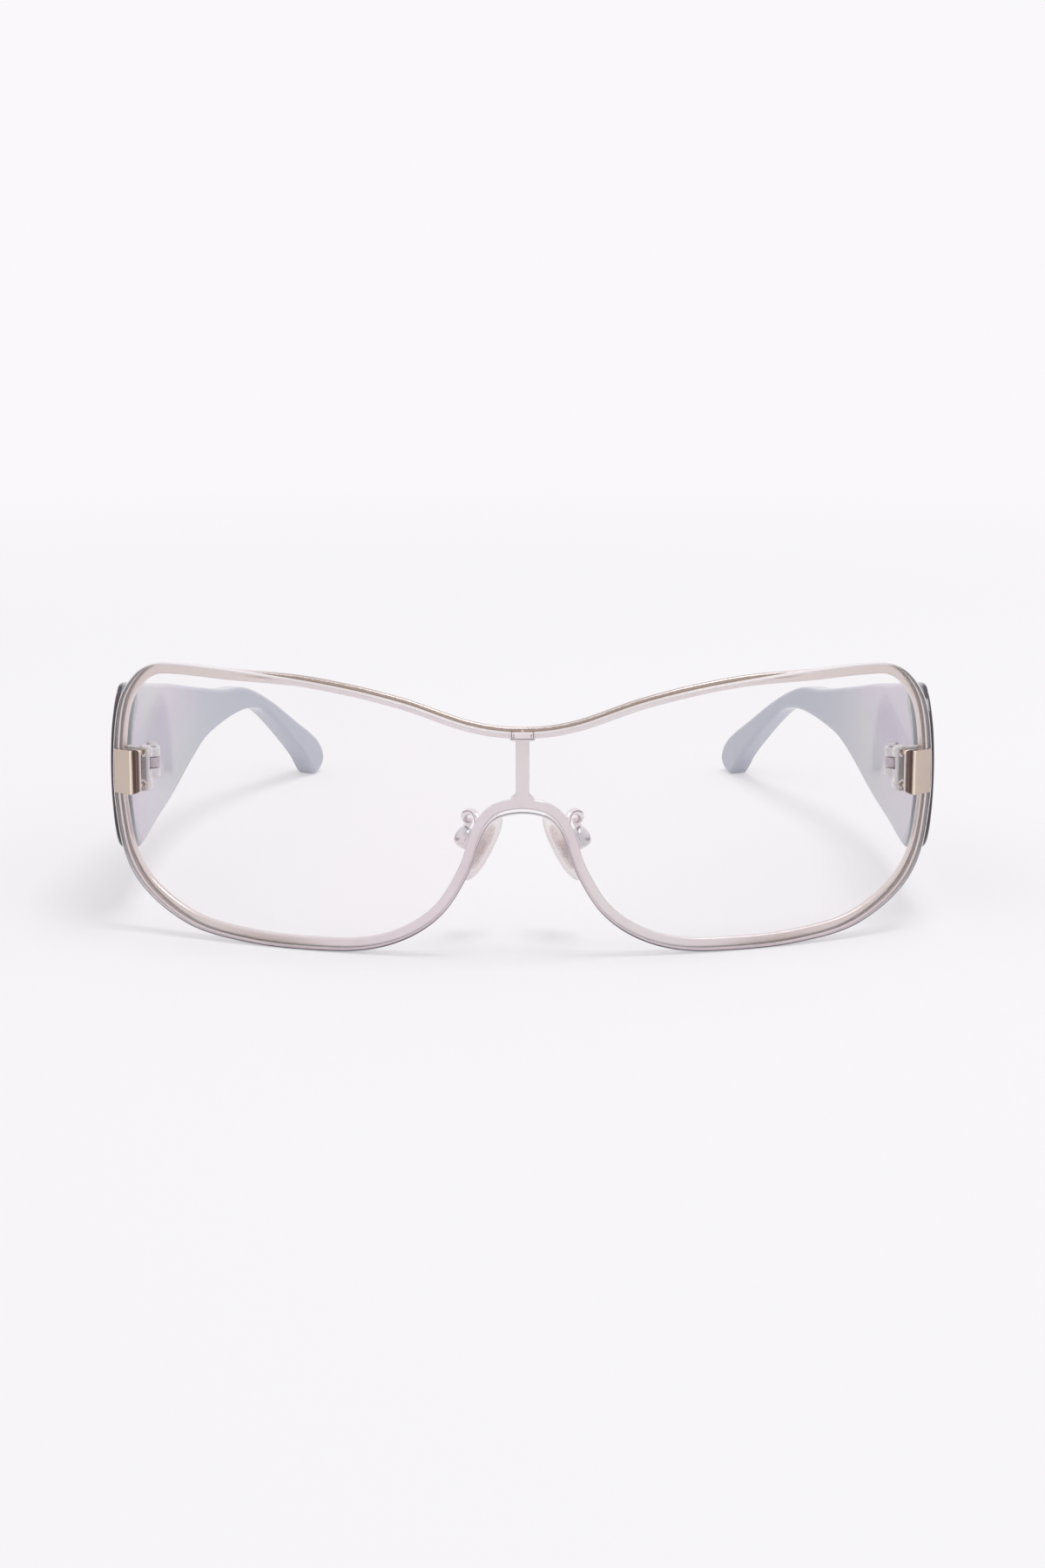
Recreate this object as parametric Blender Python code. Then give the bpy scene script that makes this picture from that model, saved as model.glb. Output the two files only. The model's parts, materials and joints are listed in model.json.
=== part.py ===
"""Shield sunglasses: one clear wrapped lens clamped on a flat metal rim, with folding acetate temples.

The glasses are drawn in their own frame (X right, Y towards the ears, Z up, front plane upright)
and then set down on the lens and the temple tips by one parent empty. All sizes are in metres.
"""
import math

import bmesh
import bpy
import numpy as np
from mathutils import Matrix, Vector

# Running clearance between separate pieces, and the overrun of every cut
CLEARANCE = 0.0003
OVERRUN = 0.001

# Shield lens, bent to a cylinder
WRAP_RADIUS = 0.140
LENS_HALF_WIDTH = 0.076
LENS_HEIGHT = 0.0488
LENS_THICKNESS = 0.0018
LENS_EDGE = 0.00025
BEND_STEP = 0.006

# Metal rim behind the lens
RIM_THICKNESS = 0.0011
RIM_MARGIN = 0.0002
RIM_BAND = 0.0018
RIM_SIDE_REACH = 0.0007
RIM_EDGE = 0.0002
RIM_BAR_WIDTH = 0.0023
RIM_BAR_TOP_FILLET = 0.0008
RIM_BAR_FOOT_FILLET = 0.0015
BROW_RISE = 0.0006
BROW_RISE_END = 0.055
BROW_RISE_FADE = 0.018
ARCH_RISE = 0.0004
ARCH_RISE_END = 0.009
ARCH_RISE_FADE = 0.005
BROW_FOOT_SHARE = 0.7

# Tab of the rim that holds the lens at its top centre
TAB_WIDTH = 0.0032
TAB_HEIGHT = 0.0008
TAB_RECESS = 0.0002

# End blocks in front of the lens, one near each end
BLOCK_FROM_END = 0.00325
BLOCK_LEVEL = 0.0292
BLOCK_WIDTH = 0.0043
BLOCK_HEIGHT = 0.0078
BLOCK_THICKNESS = 0.0013
BLOCK_EDGE = 0.0003
POST_RADIUS = 0.00055
POST_SPREAD = 0.0029
POST_INWARD = 0.0010
POST_TAIL = 0.0012

# Hinge plate behind the rim, its knuckles and its screw
PLATE_THICKNESS = 0.0010
NUT_RADIUS = 0.0011
NUT_THICKNESS = 0.0008
HINGE_BACK = 0.0060
HINGE_INSET = 0.0013
BARREL_RADIUS = 0.00145
SCREW_RADIUS = 0.0004
SCREW_HEAD_RADIUS = 0.00095
SCREW_HEAD_HEIGHT = 0.0005
SCREW_SLOT_WIDTH = 0.0003
KNUCKLE_HEIGHT = 0.0016
ARM_WIDTH = 0.0015
ARM_OUTWARD = 0.0010

# Acetate temples
TEMPLE_LENGTH = 0.1223
TEMPLE_TOP = 0.0422
TEMPLE_THICKNESS = 0.0038
TEMPLE_EDGE = 0.0009
TEMPLE_GAP = 0.0033
TEMPLE_SETBACK = 0.0016
TEMPLE_STEP = 0.006
TOE_START = math.radians(2.5)
TOE_END = math.radians(22.5)
TOE_BEGIN = 0.028
TOE_FINISH = 0.095

# Tongue of the temple's hinge and the core wire behind it
TONGUE_LENGTH = 0.0050
TONGUE_DEPTH = 0.0017
CORE_RADIUS = 0.0006
CORE_TAIL = 0.014

# Nose pads, their boxes and arms
PAD_LENGTH = 0.0132
PAD_WIDTH = 0.0064
PAD_THICKNESS = 0.0022
PAD_EDGE = 0.0006
PAD_OUT = 0.0070
PAD_BACK = 0.0140
PAD_LEVEL = 0.0164
PAD_STANDOFF = 0.0034
INSERT_LENGTH = 0.0086
INSERT_WIDTH = 0.0034
INSERT_THICKNESS = 0.0005
TANG_THICKNESS = 0.0011
TANG_RADIUS = 0.0011
PAD_PIN_RADIUS = 0.00035
BOX_RADIUS = 0.0019
BOX_FLOOR = 0.0006
BOX_OPENING = 0.0012
BOX_EDGE = 0.0003
ARM_RADIUS = 0.0006
ARM_FOOT_OUT = 0.0079
ARM_FOOT_LEVEL = 0.0226
ARM_LOOP_SIDE = 0.0015
ARM_LOOP_RISE = 0.0019

# Half of the lens outline, from the brow's centre round the side to the nose,
# as shares of the half width and of the height
LENS_OUTLINE_SHARES = (
    (0.000, 0.797), (0.117, 0.818), (0.274, 0.895), (0.434, 0.947), (0.632, 0.983), (0.821, 1.000),
    (0.899, 0.986), (0.953, 0.918), (0.986, 0.814), (1.000, 0.635), (0.997, 0.471), (0.971, 0.287),
    (0.908, 0.156), (0.790, 0.051), (0.645, 0.010), (0.500, 0.000), (0.362, 0.010), (0.258, 0.061),
    (0.178, 0.154), (0.122, 0.295), (0.092, 0.428), (0.059, 0.490), (0.000, 0.510),
)

# Temple outline, from the front's top corner back to the tip and forward along the underside,
# as shares of the length and of the height of the top corner
TEMPLE_OUTLINE_SHARES = (
    (0.098, 1.000), (0.230, 0.943), (0.376, 0.877), (0.507, 0.806), (0.630, 0.742), (0.703, 0.722),
    (0.760, 0.671), (0.826, 0.583), (0.891, 0.481), (0.953, 0.386), (0.986, 0.318), (1.000, 0.246),
    (0.991, 0.194), (0.967, 0.165), (0.948, 0.205), (0.927, 0.270), (0.889, 0.358), (0.823, 0.495),
    (0.770, 0.583), (0.722, 0.607), (0.678, 0.604), (0.621, 0.582), (0.548, 0.541), (0.470, 0.461),
    (0.397, 0.395), (0.319, 0.354), (0.204, 0.326), (0.098, 0.296), (0.056, 0.313), (0.025, 0.403),
    (0.005, 0.545), (0.000, 0.687), (0.010, 0.818), (0.033, 0.915), (0.061, 0.976),
)

# Nose pad outline as shares of its half width and half length
PAD_OUTLINE_SHARES = (
    (0.00, 1.00), (0.52, 0.86), (0.90, 0.40), (1.00, -0.10), (0.82, -0.66), (0.42, -0.95),
    (0.00, -1.00), (-0.42, -0.92), (-0.74, -0.60), (-0.84, -0.10), (-0.74, 0.45), (-0.44, 0.86),
)

# Route of a nose arm: share of the way from foot to box, share of the side step, share of the rise
ARM_ROUTE_SHARES = (
    (0.00, 0.00, 0.00), (0.10, 0.00, 0.56), (0.24, 0.18, 0.95), (0.40, 0.65, 1.00),
    (0.55, 1.00, 0.68), (0.70, 0.86, 0.25), (0.86, 0.28, 0.02), (1.00, 0.00, 0.00),
)

# Directions of the right nose pad: towards the nose, and up along the pad
PAD_FACING = Vector((-0.75, 0.40, -0.53)).normalized()
PAD_UPWARD = Vector((-0.47, 0.25, 0.85))

# Share of the half width within which the window's outline runs straight on to the centre bar
BAR_NEAR_SHARE = 0.2

# Fineness of curves, fillets, round walls and the temple's path
CURVE_STEPS = 3
CORNER_STEPS = 4
ROUND_SIDES = 16
HOLE_SIDES = 12
PATH_SAMPLES = 400

COLOURS = {
    "lens": ((0.95, 0.93, 0.95), 0.03, 0.0, 0.18),
    "metal": ((0.62, 0.56, 0.52), 0.22, 1.0, 1.0),
    "steel": ((0.66, 0.65, 0.66), 0.25, 1.0, 1.0),
    "acetate": ((0.62, 0.60, 0.70), 0.12, 0.0, 1.0),
    "silicone": ((0.93, 0.88, 0.88), 0.20, 0.0, 0.45),
}


def clear_scene():
    """Start from an empty scene."""
    for item in list(bpy.data.objects):
        bpy.data.objects.remove(item, do_unlink=True)


def make_collection(name):
    """A collection linked to the scene."""
    collection = bpy.data.collections.new(name)
    bpy.context.scene.collection.children.link(collection)
    return collection


def paint(item, finish):
    """Give a piece its own material in one of the named finishes."""
    colour, roughness, metallic, alpha = COLOURS[finish]
    material = bpy.data.materials.new(item.name + "_" + finish)
    material.use_nodes = True
    shader = material.node_tree.nodes["Principled BSDF"]
    shader.inputs["Base Color"].default_value = (*colour, 1.0)
    shader.inputs["Roughness"].default_value = roughness
    shader.inputs["Metallic"].default_value = metallic
    shader.inputs["Alpha"].default_value = alpha
    item.data.materials.clear()
    item.data.materials.append(material)


def smooth_loop(points, steps=CURVE_STEPS, closed=True):
    """Points of a smooth curve through the given points, with equal steps on each stretch."""
    points = np.asarray(points, float)
    count = len(points)
    spans = count if closed else count - 1
    result = []
    for index in range(spans):
        if closed:
            before, start, end, after = (points[(index + k) % count] for k in (-1, 0, 1, 2))
        else:
            start, end = points[index], points[index + 1]
            before = points[index - 1] if index > 0 else start * 2 - end
            after = points[index + 2] if index + 2 < count else end * 2 - start
        for step in range(steps):
            t = step / steps
            a = start * 2
            b = (end - before) * t
            c = (before * 2 - start * 5 + end * 4 - after) * t ** 2
            d = (start * 3 - before - end * 3 + after) * t ** 3
            result.append((a + b + c + d) / 2)
    if not closed:
        result.append(points[-1])
    return np.array(result)


def counter_clockwise(points):
    """The closed outline, turned so that it runs counter-clockwise."""
    x, y = points[:, 0], points[:, 1]
    area = np.sum(x * np.roll(y, -1) - y * np.roll(x, -1))
    return points if area > 0 else points[::-1]


def inset(points, distance):
    """A counter-clockwise closed outline moved inwards by the distance, each corner mitred."""
    ahead = np.roll(points, -1, axis=0) - points
    ahead /= np.linalg.norm(ahead, axis=1)[:, None]
    inward = np.column_stack((-ahead[:, 1], ahead[:, 0]))
    mean = inward + np.roll(inward, 1, axis=0)
    mean /= np.sum(mean * np.roll(inward, 1, axis=0), axis=1)[:, None]
    return points + mean * distance


def circle(radius, centre=(0, 0), sides=HOLE_SIDES):
    """A closed round outline."""
    turn = np.arange(sides) * math.tau / sides
    return np.column_stack((centre[0] + radius * np.cos(turn), centre[1] + radius * np.sin(turn)))


def rectangle(width, height, centre=(0, 0)):
    """A closed rectangular outline."""
    x, y = width / 2, height / 2
    return np.array(((-x, -y), (x, -y), (x, y), (-x, y))) + np.asarray(centre)


def rounded_corner(before, corner, after, radius, steps=CORNER_STEPS):
    """The arc that replaces a corner, and how far it reaches along each side."""
    before, corner, after = (np.asarray(p, float) for p in (before, corner, after))
    first = (before - corner) / np.linalg.norm(before - corner)
    second = (after - corner) / np.linalg.norm(after - corner)
    half = math.acos(float(np.clip(first @ second, -1, 1))) / 2
    reach = radius / math.tan(half)
    middle = first + second
    centre = corner + middle / np.linalg.norm(middle) * radius / math.sin(half)
    start = corner + first * reach - centre
    end = corner + second * reach - centre
    sweep = math.pi - half * 2
    blend = [math.sin(sweep * (1 - k / steps)) / math.sin(sweep) for k in range(steps + 1)]
    back = blend[::-1]
    return np.array([centre + start * a + end * b for a, b in zip(blend, back)]), reach


def object_from(mesh, name, collection):
    """Link a mesh as a named object."""
    item = bpy.data.objects.new(name, mesh)
    collection.objects.link(item)
    return item


def slab(name, collection, outline, holes=(), thickness=0, edge=0, rounding=0):
    """A flat piece in the XY plane: outline and holes, centred on z = 0, with eased edges."""
    curve = bpy.data.curves.new(name, "CURVE")
    curve.dimensions = "2D"
    curve.fill_mode = "BOTH"
    curve.extrude = thickness / 2 - edge
    curve.bevel_depth = edge
    curve.bevel_resolution = rounding
    loops = [inset(counter_clockwise(outline), edge)]
    loops += [inset(counter_clockwise(hole), -edge) for hole in holes]
    for loop in loops:
        spline = curve.splines.new("POLY")
        spline.points.add(len(loop) - 1)
        for point, place in zip(spline.points, loop):
            point.co = (place[0], place[1], 0, 1)
        spline.use_cyclic_u = True
    guide = object_from(curve, name + "_curve", collection)
    item = object_from(mesh_of(guide, True), name, collection)
    bpy.data.objects.remove(guide)
    return item


def mesh_of(item, turn_out=False):
    """The evaluated shape of an object as one welded mesh, its faces turned outwards if asked."""
    bpy.context.view_layer.update()
    evaluated = item.evaluated_get(bpy.context.evaluated_depsgraph_get())
    mesh = bpy.data.meshes.new_from_object(evaluated)
    work = bmesh.new()
    work.from_mesh(mesh)
    bmesh.ops.remove_doubles(work, verts=work.verts, dist=OVERRUN / 1000)
    bmesh.ops.dissolve_limit(work, angle_limit=math.radians(0.1), verts=work.verts, edges=work.edges)
    if turn_out:
        bmesh.ops.recalc_face_normals(work, faces=work.faces)
    work.to_mesh(mesh)
    work.free()
    return mesh


def block(name, collection, size, centre=(0, 0, 0), edge=0):
    """A box with eased edges."""
    mesh = bpy.data.meshes.new(name)
    work = bmesh.new()
    bmesh.ops.create_cube(work, size=1)
    bmesh.ops.scale(work, vec=size, verts=work.verts)
    bmesh.ops.translate(work, vec=centre, verts=work.verts)
    if edge:
        bmesh.ops.bevel(work, geom=work.edges[:], offset=edge, segments=2, profile=0.5, affect="EDGES")
    work.to_mesh(mesh)
    work.free()
    return object_from(mesh, name, collection)


def rod(name, collection, radius, start, end, sides=HOLE_SIDES, edge=0):
    """A round bar between two points, its rims eased if an edge is given."""
    start, end = Vector(start), Vector(end)
    mesh = bpy.data.meshes.new(name)
    work = bmesh.new()
    length = (end - start).length
    bmesh.ops.create_cone(work, cap_ends=True, segments=sides, radius1=radius, radius2=radius, depth=length)
    if edge:
        rims = [e for e in work.edges if abs(e.verts[0].co.z - e.verts[1].co.z) < edge]
        bmesh.ops.bevel(work, geom=rims, offset=edge, segments=2, profile=0.5, affect="EDGES")
    turn = (end - start).to_track_quat("Z", "Y").to_matrix().to_4x4()
    bmesh.ops.transform(work, matrix=Matrix.Translation((start + end) / 2) @ turn, verts=work.verts)
    work.to_mesh(mesh)
    work.free()
    return object_from(mesh, name, collection)


def combine(item, other, operation):
    """Join another shape to a piece, or cut it away, and drop the other shape."""
    modifier = item.modifiers.new(operation.lower(), "BOOLEAN")
    modifier.operation = operation
    modifier.solver = "EXACT"
    modifier.object = other
    mesh = mesh_of(item)
    item.modifiers.clear()
    item.data = mesh
    bpy.data.objects.remove(other)
    return item


def slice_along_x(item, first, last, step):
    """Cut the faces of a flat piece into strips, so that it can be bent."""
    work = bmesh.new()
    work.from_mesh(item.data)
    count = max(2, round((last - first) / step))
    for index in range(1, count):
        place = first + (last - first) * index / count
        geometry = work.verts[:] + work.edges[:] + work.faces[:]
        bmesh.ops.bisect_plane(work, geom=geometry, plane_co=(place, 0, 0), plane_no=(1, 0, 0))
    work.to_mesh(item.data)
    work.free()


def reshape(item, rule):
    """Move every point of a mesh by a rule on the whole array of points."""
    mesh = item.data
    points = np.empty(len(mesh.vertices) * 3)
    mesh.vertices.foreach_get("co", points)
    moved = rule(points.reshape(-1, 3))
    mesh.vertices.foreach_set("co", np.asarray(moved).ravel())
    mesh.update()


def wrapped(arc, level, depth):
    """Place on the wrapped front: arc along the bend, level above the lens's foot, depth behind its face."""
    radius = WRAP_RADIUS - depth
    turn = arc / WRAP_RADIUS
    return radius * np.sin(turn), WRAP_RADIUS - radius * np.cos(turn), level


def wrap_front(item, middle_depth):
    """Bend a flat piece of the front round the wrap cylinder."""
    def rule(points):
        return np.column_stack(wrapped(points[:, 0], points[:, 1], middle_depth - points[:, 2]))
    reshape(item, rule)


def block_arc():
    """Place of the right end block along the bend."""
    return LENS_HALF_WIDTH - BLOCK_FROM_END


def front_matrix(arc, level, depth):
    """Local axes on the wrapped front: X along the bend, Y up, Z out of the face."""
    turn = arc / WRAP_RADIUS
    place = Vector(wrapped(arc, level, depth))
    along = Vector((math.cos(turn), math.sin(turn), 0))
    outward = Vector((math.sin(turn), -math.cos(turn), 0))
    axes = Matrix((along, Vector((0, 0, 1)), outward)).transposed().to_4x4()
    return Matrix.Translation(place) @ axes


def lens_outline():
    """The whole lens outline on the flat."""
    half = np.array(LENS_OUTLINE_SHARES) * (LENS_HALF_WIDTH, LENS_HEIGHT)
    other = half[1:-1][::-1] * (-1, 1)
    return counter_clockwise(smooth_loop(np.vstack((half, other))))


def eased(across, end, fade):
    """A weight of one that falls smoothly to nothing at the end, over the length of the fade."""
    share = np.clip((end - across) / fade, 0, 1)
    return share ** 2 * (3 - share * 2)


def rim_outline():
    """The rim's outline: the lens's, drawn in by a margin, lifted at brow and arch, drawn out at the sides."""
    outline = inset(lens_outline(), RIM_MARGIN)
    across = np.abs(outline[:, 0])
    brow = outline[:, 1] > LENS_HEIGHT * BROW_FOOT_SHARE
    outline[:, 1] += (RIM_MARGIN + BROW_RISE) * eased(across, BROW_RISE_END, BROW_RISE_FADE) * brow
    outline[:, 1] += ARCH_RISE * eased(across, ARCH_RISE_END, ARCH_RISE_FADE) * ~brow
    outline[:, 0] += RIM_SIDE_REACH * np.sign(outline[:, 0]) * (across / LENS_HALF_WIDTH) ** 6
    return outline


def rim_window():
    """The right window: the rim's outline drawn in by the band, cut off and filleted at the centre bar."""
    inner = inset(rim_outline(), RIM_BAND)
    bar = RIM_BAR_WIDTH / 2
    inner = inner[inner[:, 0] > bar]
    inner = inner[np.argsort(-np.unwrap(np.arctan2(
        inner[:, 1] - LENS_HEIGHT / 2, inner[:, 0] - LENS_HALF_WIDTH / 2)))]
    middle = LENS_HEIGHT * (LENS_OUTLINE_SHARES[0][1] + LENS_OUTLINE_SHARES[-1][1]) / 2
    near = inner[inner[:, 0] < LENS_HALF_WIDTH * BAR_NEAR_SHARE]
    top = near[near[:, 1] > middle]
    foot = near[near[:, 1] < middle]
    top = top[np.argsort(top[:, 0])]
    foot = foot[np.argsort(foot[:, 0])]
    top_corner = meet_bar(top, bar)
    foot_corner = meet_bar(foot, bar)
    top_arc, top_reach = rounded_corner(foot_corner, top_corner, top[1], RIM_BAR_TOP_FILLET)
    foot_arc, foot_reach = rounded_corner(foot[1], foot_corner, top_corner, RIM_BAR_FOOT_FILLET)
    clear_top = np.linalg.norm(inner - top_corner, axis=1) > top_reach + CLEARANCE
    clear_foot = np.linalg.norm(inner - foot_corner, axis=1) > foot_reach + CLEARANCE
    ring = inner[clear_top & clear_foot]
    start = int(np.argmin(np.linalg.norm(ring - top_corner, axis=1)))
    ring = np.roll(ring, -start, axis=0)
    if np.linalg.norm(ring[1] - foot_corner) < np.linalg.norm(ring[-1] - foot_corner):
        ring = np.roll(ring[::-1], 1, axis=0)
    return np.vstack((ring, foot_arc, top_arc))


def meet_bar(side, bar):
    """Where the stretch of outline next to the centre bar reaches the bar's edge."""
    slope = (side[1] - side[0]) / (side[1][0] - side[0][0])
    return side[0] + slope * (bar - side[0][0])


def post_places():
    """Flat places of the two posts of the right end block."""
    return [(block_arc() - POST_INWARD, BLOCK_LEVEL + POST_SPREAD * side) for side in (-1, 1)]


def make_lens(collection):
    """The clear shield, with four holes for the posts and a notch for the rim's tab."""
    holes = []
    for across, level in post_places():
        for side in (-1, 1):
            holes.append(circle(POST_RADIUS + CLEARANCE, (across * side, level)))
    lens = slab("lens", collection, lens_outline(), holes, LENS_THICKNESS, LENS_EDGE)
    brow = LENS_HEIGHT * LENS_OUTLINE_SHARES[0][1]
    depth = TAB_HEIGHT + CLEARANCE
    size = (TAB_WIDTH + CLEARANCE * 2, depth + OVERRUN, LENS_THICKNESS + OVERRUN)
    notch = block("lens_notch", collection, size, (0, brow - depth + size[1] / 2, 0))
    combine(lens, notch, "DIFFERENCE")
    slice_along_x(lens, -LENS_HALF_WIDTH, LENS_HALF_WIDTH, BEND_STEP)
    wrap_front(lens, LENS_THICKNESS / 2)
    paint(lens, "lens")
    return lens


def make_rim(collection):
    """The flat metal rim with its two windows, its centre bar and its lens tab."""
    window = rim_window()
    other = window * (-1, 1)
    rim = slab("front_rim", collection, rim_outline(), (window, other), RIM_THICKNESS, RIM_EDGE)
    brow = LENS_HEIGHT * LENS_OUTLINE_SHARES[0][1]
    reach = LENS_THICKNESS + CLEARANCE - TAB_RECESS + RIM_THICKNESS / 2
    size = (TAB_WIDTH, TAB_HEIGHT, reach)
    tab = block("rim_tab", collection, size, (0, brow - TAB_HEIGHT / 2, reach / 2))
    combine(rim, tab, "UNION")
    slice_along_x(rim, -LENS_HALF_WIDTH, LENS_HALF_WIDTH, BEND_STEP)
    wrap_front(rim, LENS_THICKNESS + CLEARANCE + RIM_THICKNESS / 2)
    paint(rim, "metal")
    return rim


def plate_depth():
    """Depth of the hinge plate's front face behind the lens's face."""
    return LENS_THICKNESS + RIM_THICKNESS + CLEARANCE * 2


def make_end_block(collection):
    """The block in front of the lens, with two posts that pass through the lens."""
    place = front_matrix(block_arc(), BLOCK_LEVEL, 0)
    size = (BLOCK_WIDTH, BLOCK_HEIGHT, BLOCK_THICKNESS)
    centre = (0, 0, CLEARANCE + BLOCK_THICKNESS / 2)
    item = block("right_end_block", collection, size, centre, BLOCK_EDGE)
    tail = plate_depth() + PLATE_THICKNESS + POST_TAIL
    for side in (-1, 1):
        start = (-POST_INWARD, POST_SPREAD * side, centre[2])
        post = rod("post", collection, POST_RADIUS, start, (start[0], start[1], -tail))
        combine(item, post, "UNION")
    item.data.transform(place)
    paint(item, "metal")
    return item


def make_clamp_nut(collection, name, side):
    """A round nut on the end of a post, behind the hinge plate."""
    place = front_matrix(block_arc(), BLOCK_LEVEL, plate_depth() + PLATE_THICKNESS + CLEARANCE)
    outline = circle(NUT_RADIUS, sides=ROUND_SIDES)
    hole = circle(POST_RADIUS + CLEARANCE)
    item = slab(name, collection, outline, (hole,), NUT_THICKNESS, RIM_EDGE)
    item.data.transform(Matrix.Translation((-POST_INWARD, POST_SPREAD * side, -NUT_THICKNESS / 2)))
    item.data.transform(place)
    paint(item, "steel")
    return item


def hinge_point():
    """The hinge axis at the level of the end block, on the right side."""
    place = front_matrix(block_arc(), BLOCK_LEVEL, plate_depth() + PLATE_THICKNESS)
    base = place.translation
    return Vector((base.x - HINGE_INSET, base.y + HINGE_BACK, BLOCK_LEVEL))


def knuckle_levels():
    """Middle levels of the front leaf's two knuckles."""
    pitch = KNUCKLE_HEIGHT + CLEARANCE
    return BLOCK_LEVEL - pitch, BLOCK_LEVEL + pitch


def knuckle(name, collection, level, foot, width):
    """A barrel on the hinge axis with an arm that runs to its foot."""
    axis = hinge_point()
    towards = Vector((foot[0] - axis.x, foot[1] - axis.y))
    start = math.atan2(towards.y, towards.x)
    spread = math.asin(width / 2 / BARREL_RADIUS)
    turns = np.linspace(start + spread, start - spread + math.tau, ROUND_SIDES)
    barrel = np.column_stack((axis.x + BARREL_RADIUS * np.cos(turns), axis.y + BARREL_RADIUS * np.sin(turns)))
    side = Vector((-towards.y, towards.x)).normalized() * width / 2
    ends = np.array(((foot[0] - side.x, foot[1] - side.y), (foot[0] + side.x, foot[1] + side.y)))
    outline = np.vstack((barrel, ends))
    hole = circle(SCREW_RADIUS + CLEARANCE, (axis.x, axis.y))
    item = slab(name, collection, outline, (hole,), KNUCKLE_HEIGHT)
    item.data.transform(Matrix.Translation((0, 0, level)))
    return item


def make_front_hinge(collection):
    """The hinge plate behind the rim with its two knuckles."""
    holes = [circle(POST_RADIUS + CLEARANCE, (-POST_INWARD, POST_SPREAD * side)) for side in (-1, 1)]
    outline = rectangle(BLOCK_WIDTH, BLOCK_HEIGHT)
    item = slab("right_front_hinge", collection, outline, holes, PLATE_THICKNESS, RIM_EDGE)
    place = front_matrix(block_arc(), BLOCK_LEVEL, plate_depth() + PLATE_THICKNESS / 2)
    item.data.transform(place)
    foot = place @ Vector((ARM_OUTWARD, 0, 0))
    for level in knuckle_levels():
        arm = knuckle("knuckle", collection, level, (foot.x, foot.y), ARM_WIDTH)
        combine(item, arm, "UNION")
    paint(item, "steel")
    return item


def make_hinge_screw(collection):
    """The screw that pins the three knuckles, its slotted head on top."""
    axis = hinge_point()
    half = KNUCKLE_HEIGHT * 3 / 2 + CLEARANCE
    foot = (axis.x, axis.y, BLOCK_LEVEL - half)
    shoulder = (axis.x, axis.y, BLOCK_LEVEL + half + CLEARANCE)
    top = (axis.x, axis.y, shoulder[2] + SCREW_HEAD_HEIGHT)
    item = rod("right_hinge_screw", collection, SCREW_RADIUS, foot, (axis.x, axis.y, top[2] - SCREW_SLOT_WIDTH))
    head = rod("head", collection, SCREW_HEAD_RADIUS, shoulder, top, ROUND_SIDES)
    combine(item, head, "UNION")
    size = (SCREW_HEAD_RADIUS * 3, SCREW_SLOT_WIDTH, SCREW_SLOT_WIDTH * 2)
    slot = block("slot", collection, size, (axis.x, axis.y, top[2]))
    combine(item, slot, "DIFFERENCE")
    paint(item, "steel")
    return item


def temple_start():
    """The inner face's front end of the right temple in plan."""
    axis = hinge_point()
    return axis.x + TEMPLE_GAP, axis.y - TEMPLE_SETBACK - BARREL_RADIUS * 2


def temple_path(distances):
    """Plan of the temple's inner face: places, and toe angles that grow smoothly towards the tip."""
    fine = np.linspace(min(0, distances.min()), max(TEMPLE_LENGTH, distances.max()), PATH_SAMPLES)
    share = np.clip((fine - TOE_BEGIN) / (TOE_FINISH - TOE_BEGIN), 0, 1)
    toe = TOE_START + (TOE_END - TOE_START) * share ** 2 * (3 - share * 2)
    step = np.diff(fine, prepend=fine[0])
    start = temple_start()
    x = start[0] - np.cumsum(np.sin(toe) * step)
    y = start[1] + np.cumsum(np.cos(toe) * step)
    origin = (np.interp(0, fine, x) - start[0], np.interp(0, fine, y) - start[1])
    place_x = np.interp(distances, fine, x) - origin[0]
    place_y = np.interp(distances, fine, y) - origin[1]
    return place_x, place_y, np.interp(distances, fine, toe)


def bend_temple(item):
    """Bend a flat temple piece: X runs along the path, Y up, Z from the inner face outwards."""
    def rule(points):
        x, y, toe = temple_path(points[:, 0])
        return np.column_stack((x + points[:, 2] * np.cos(toe), y + points[:, 2] * np.sin(toe), points[:, 1]))
    reshape(item, rule)


def temple_line(distance):
    """Level of the temple's middle line, on which the core wire lies."""
    outline = np.array(TEMPLE_OUTLINE_SHARES) * (TEMPLE_LENGTH, TEMPLE_TOP)
    last = len(outline) - 1
    tip = int(np.argmax(outline[:, 0]))
    upper = outline[:tip + 1]
    lower = np.vstack((outline[tip:last + 1]))[::-1]
    lower = lower[np.argsort(lower[:, 0])]
    return (np.interp(distance, upper[:, 0], upper[:, 1]) + np.interp(distance, lower[:, 0], lower[:, 1])) / 2


def core_route(first, last):
    """Route of the core wire on the flat: level at the hinge, then along the temple's middle line."""
    distances = np.linspace(first, last, round((last - first) / TEMPLE_STEP) + 1)
    blend = np.clip((distances - first) / (TOE_BEGIN - first), 0, 1)
    blend = blend ** 2 * (3 - blend * 2)
    levels = BLOCK_LEVEL * (1 - blend) + temple_line(distances) * blend
    middle = np.full(len(distances), TEMPLE_THICKNESS / 2)
    return np.column_stack((distances, levels, middle))


def wire(name, collection, route, radius):
    """A round wire along a route, with closed ends."""
    curve = bpy.data.curves.new(name, "CURVE")
    curve.dimensions = "3D"
    curve.bevel_depth = radius
    curve.bevel_resolution = 2
    curve.use_fill_caps = True
    spline = curve.splines.new("POLY")
    spline.points.add(len(route) - 1)
    for point, place in zip(spline.points, route):
        point.co = (*place, 1)
    guide = object_from(curve, name + "_curve", collection)
    item = object_from(mesh_of(guide, True), name, collection)
    bpy.data.objects.remove(guide)
    return item


def tongue_start():
    """How far behind the temple's front end the hinge's tongue begins."""
    return hinge_point().y - temple_start()[1] - ARM_WIDTH / 2


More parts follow.
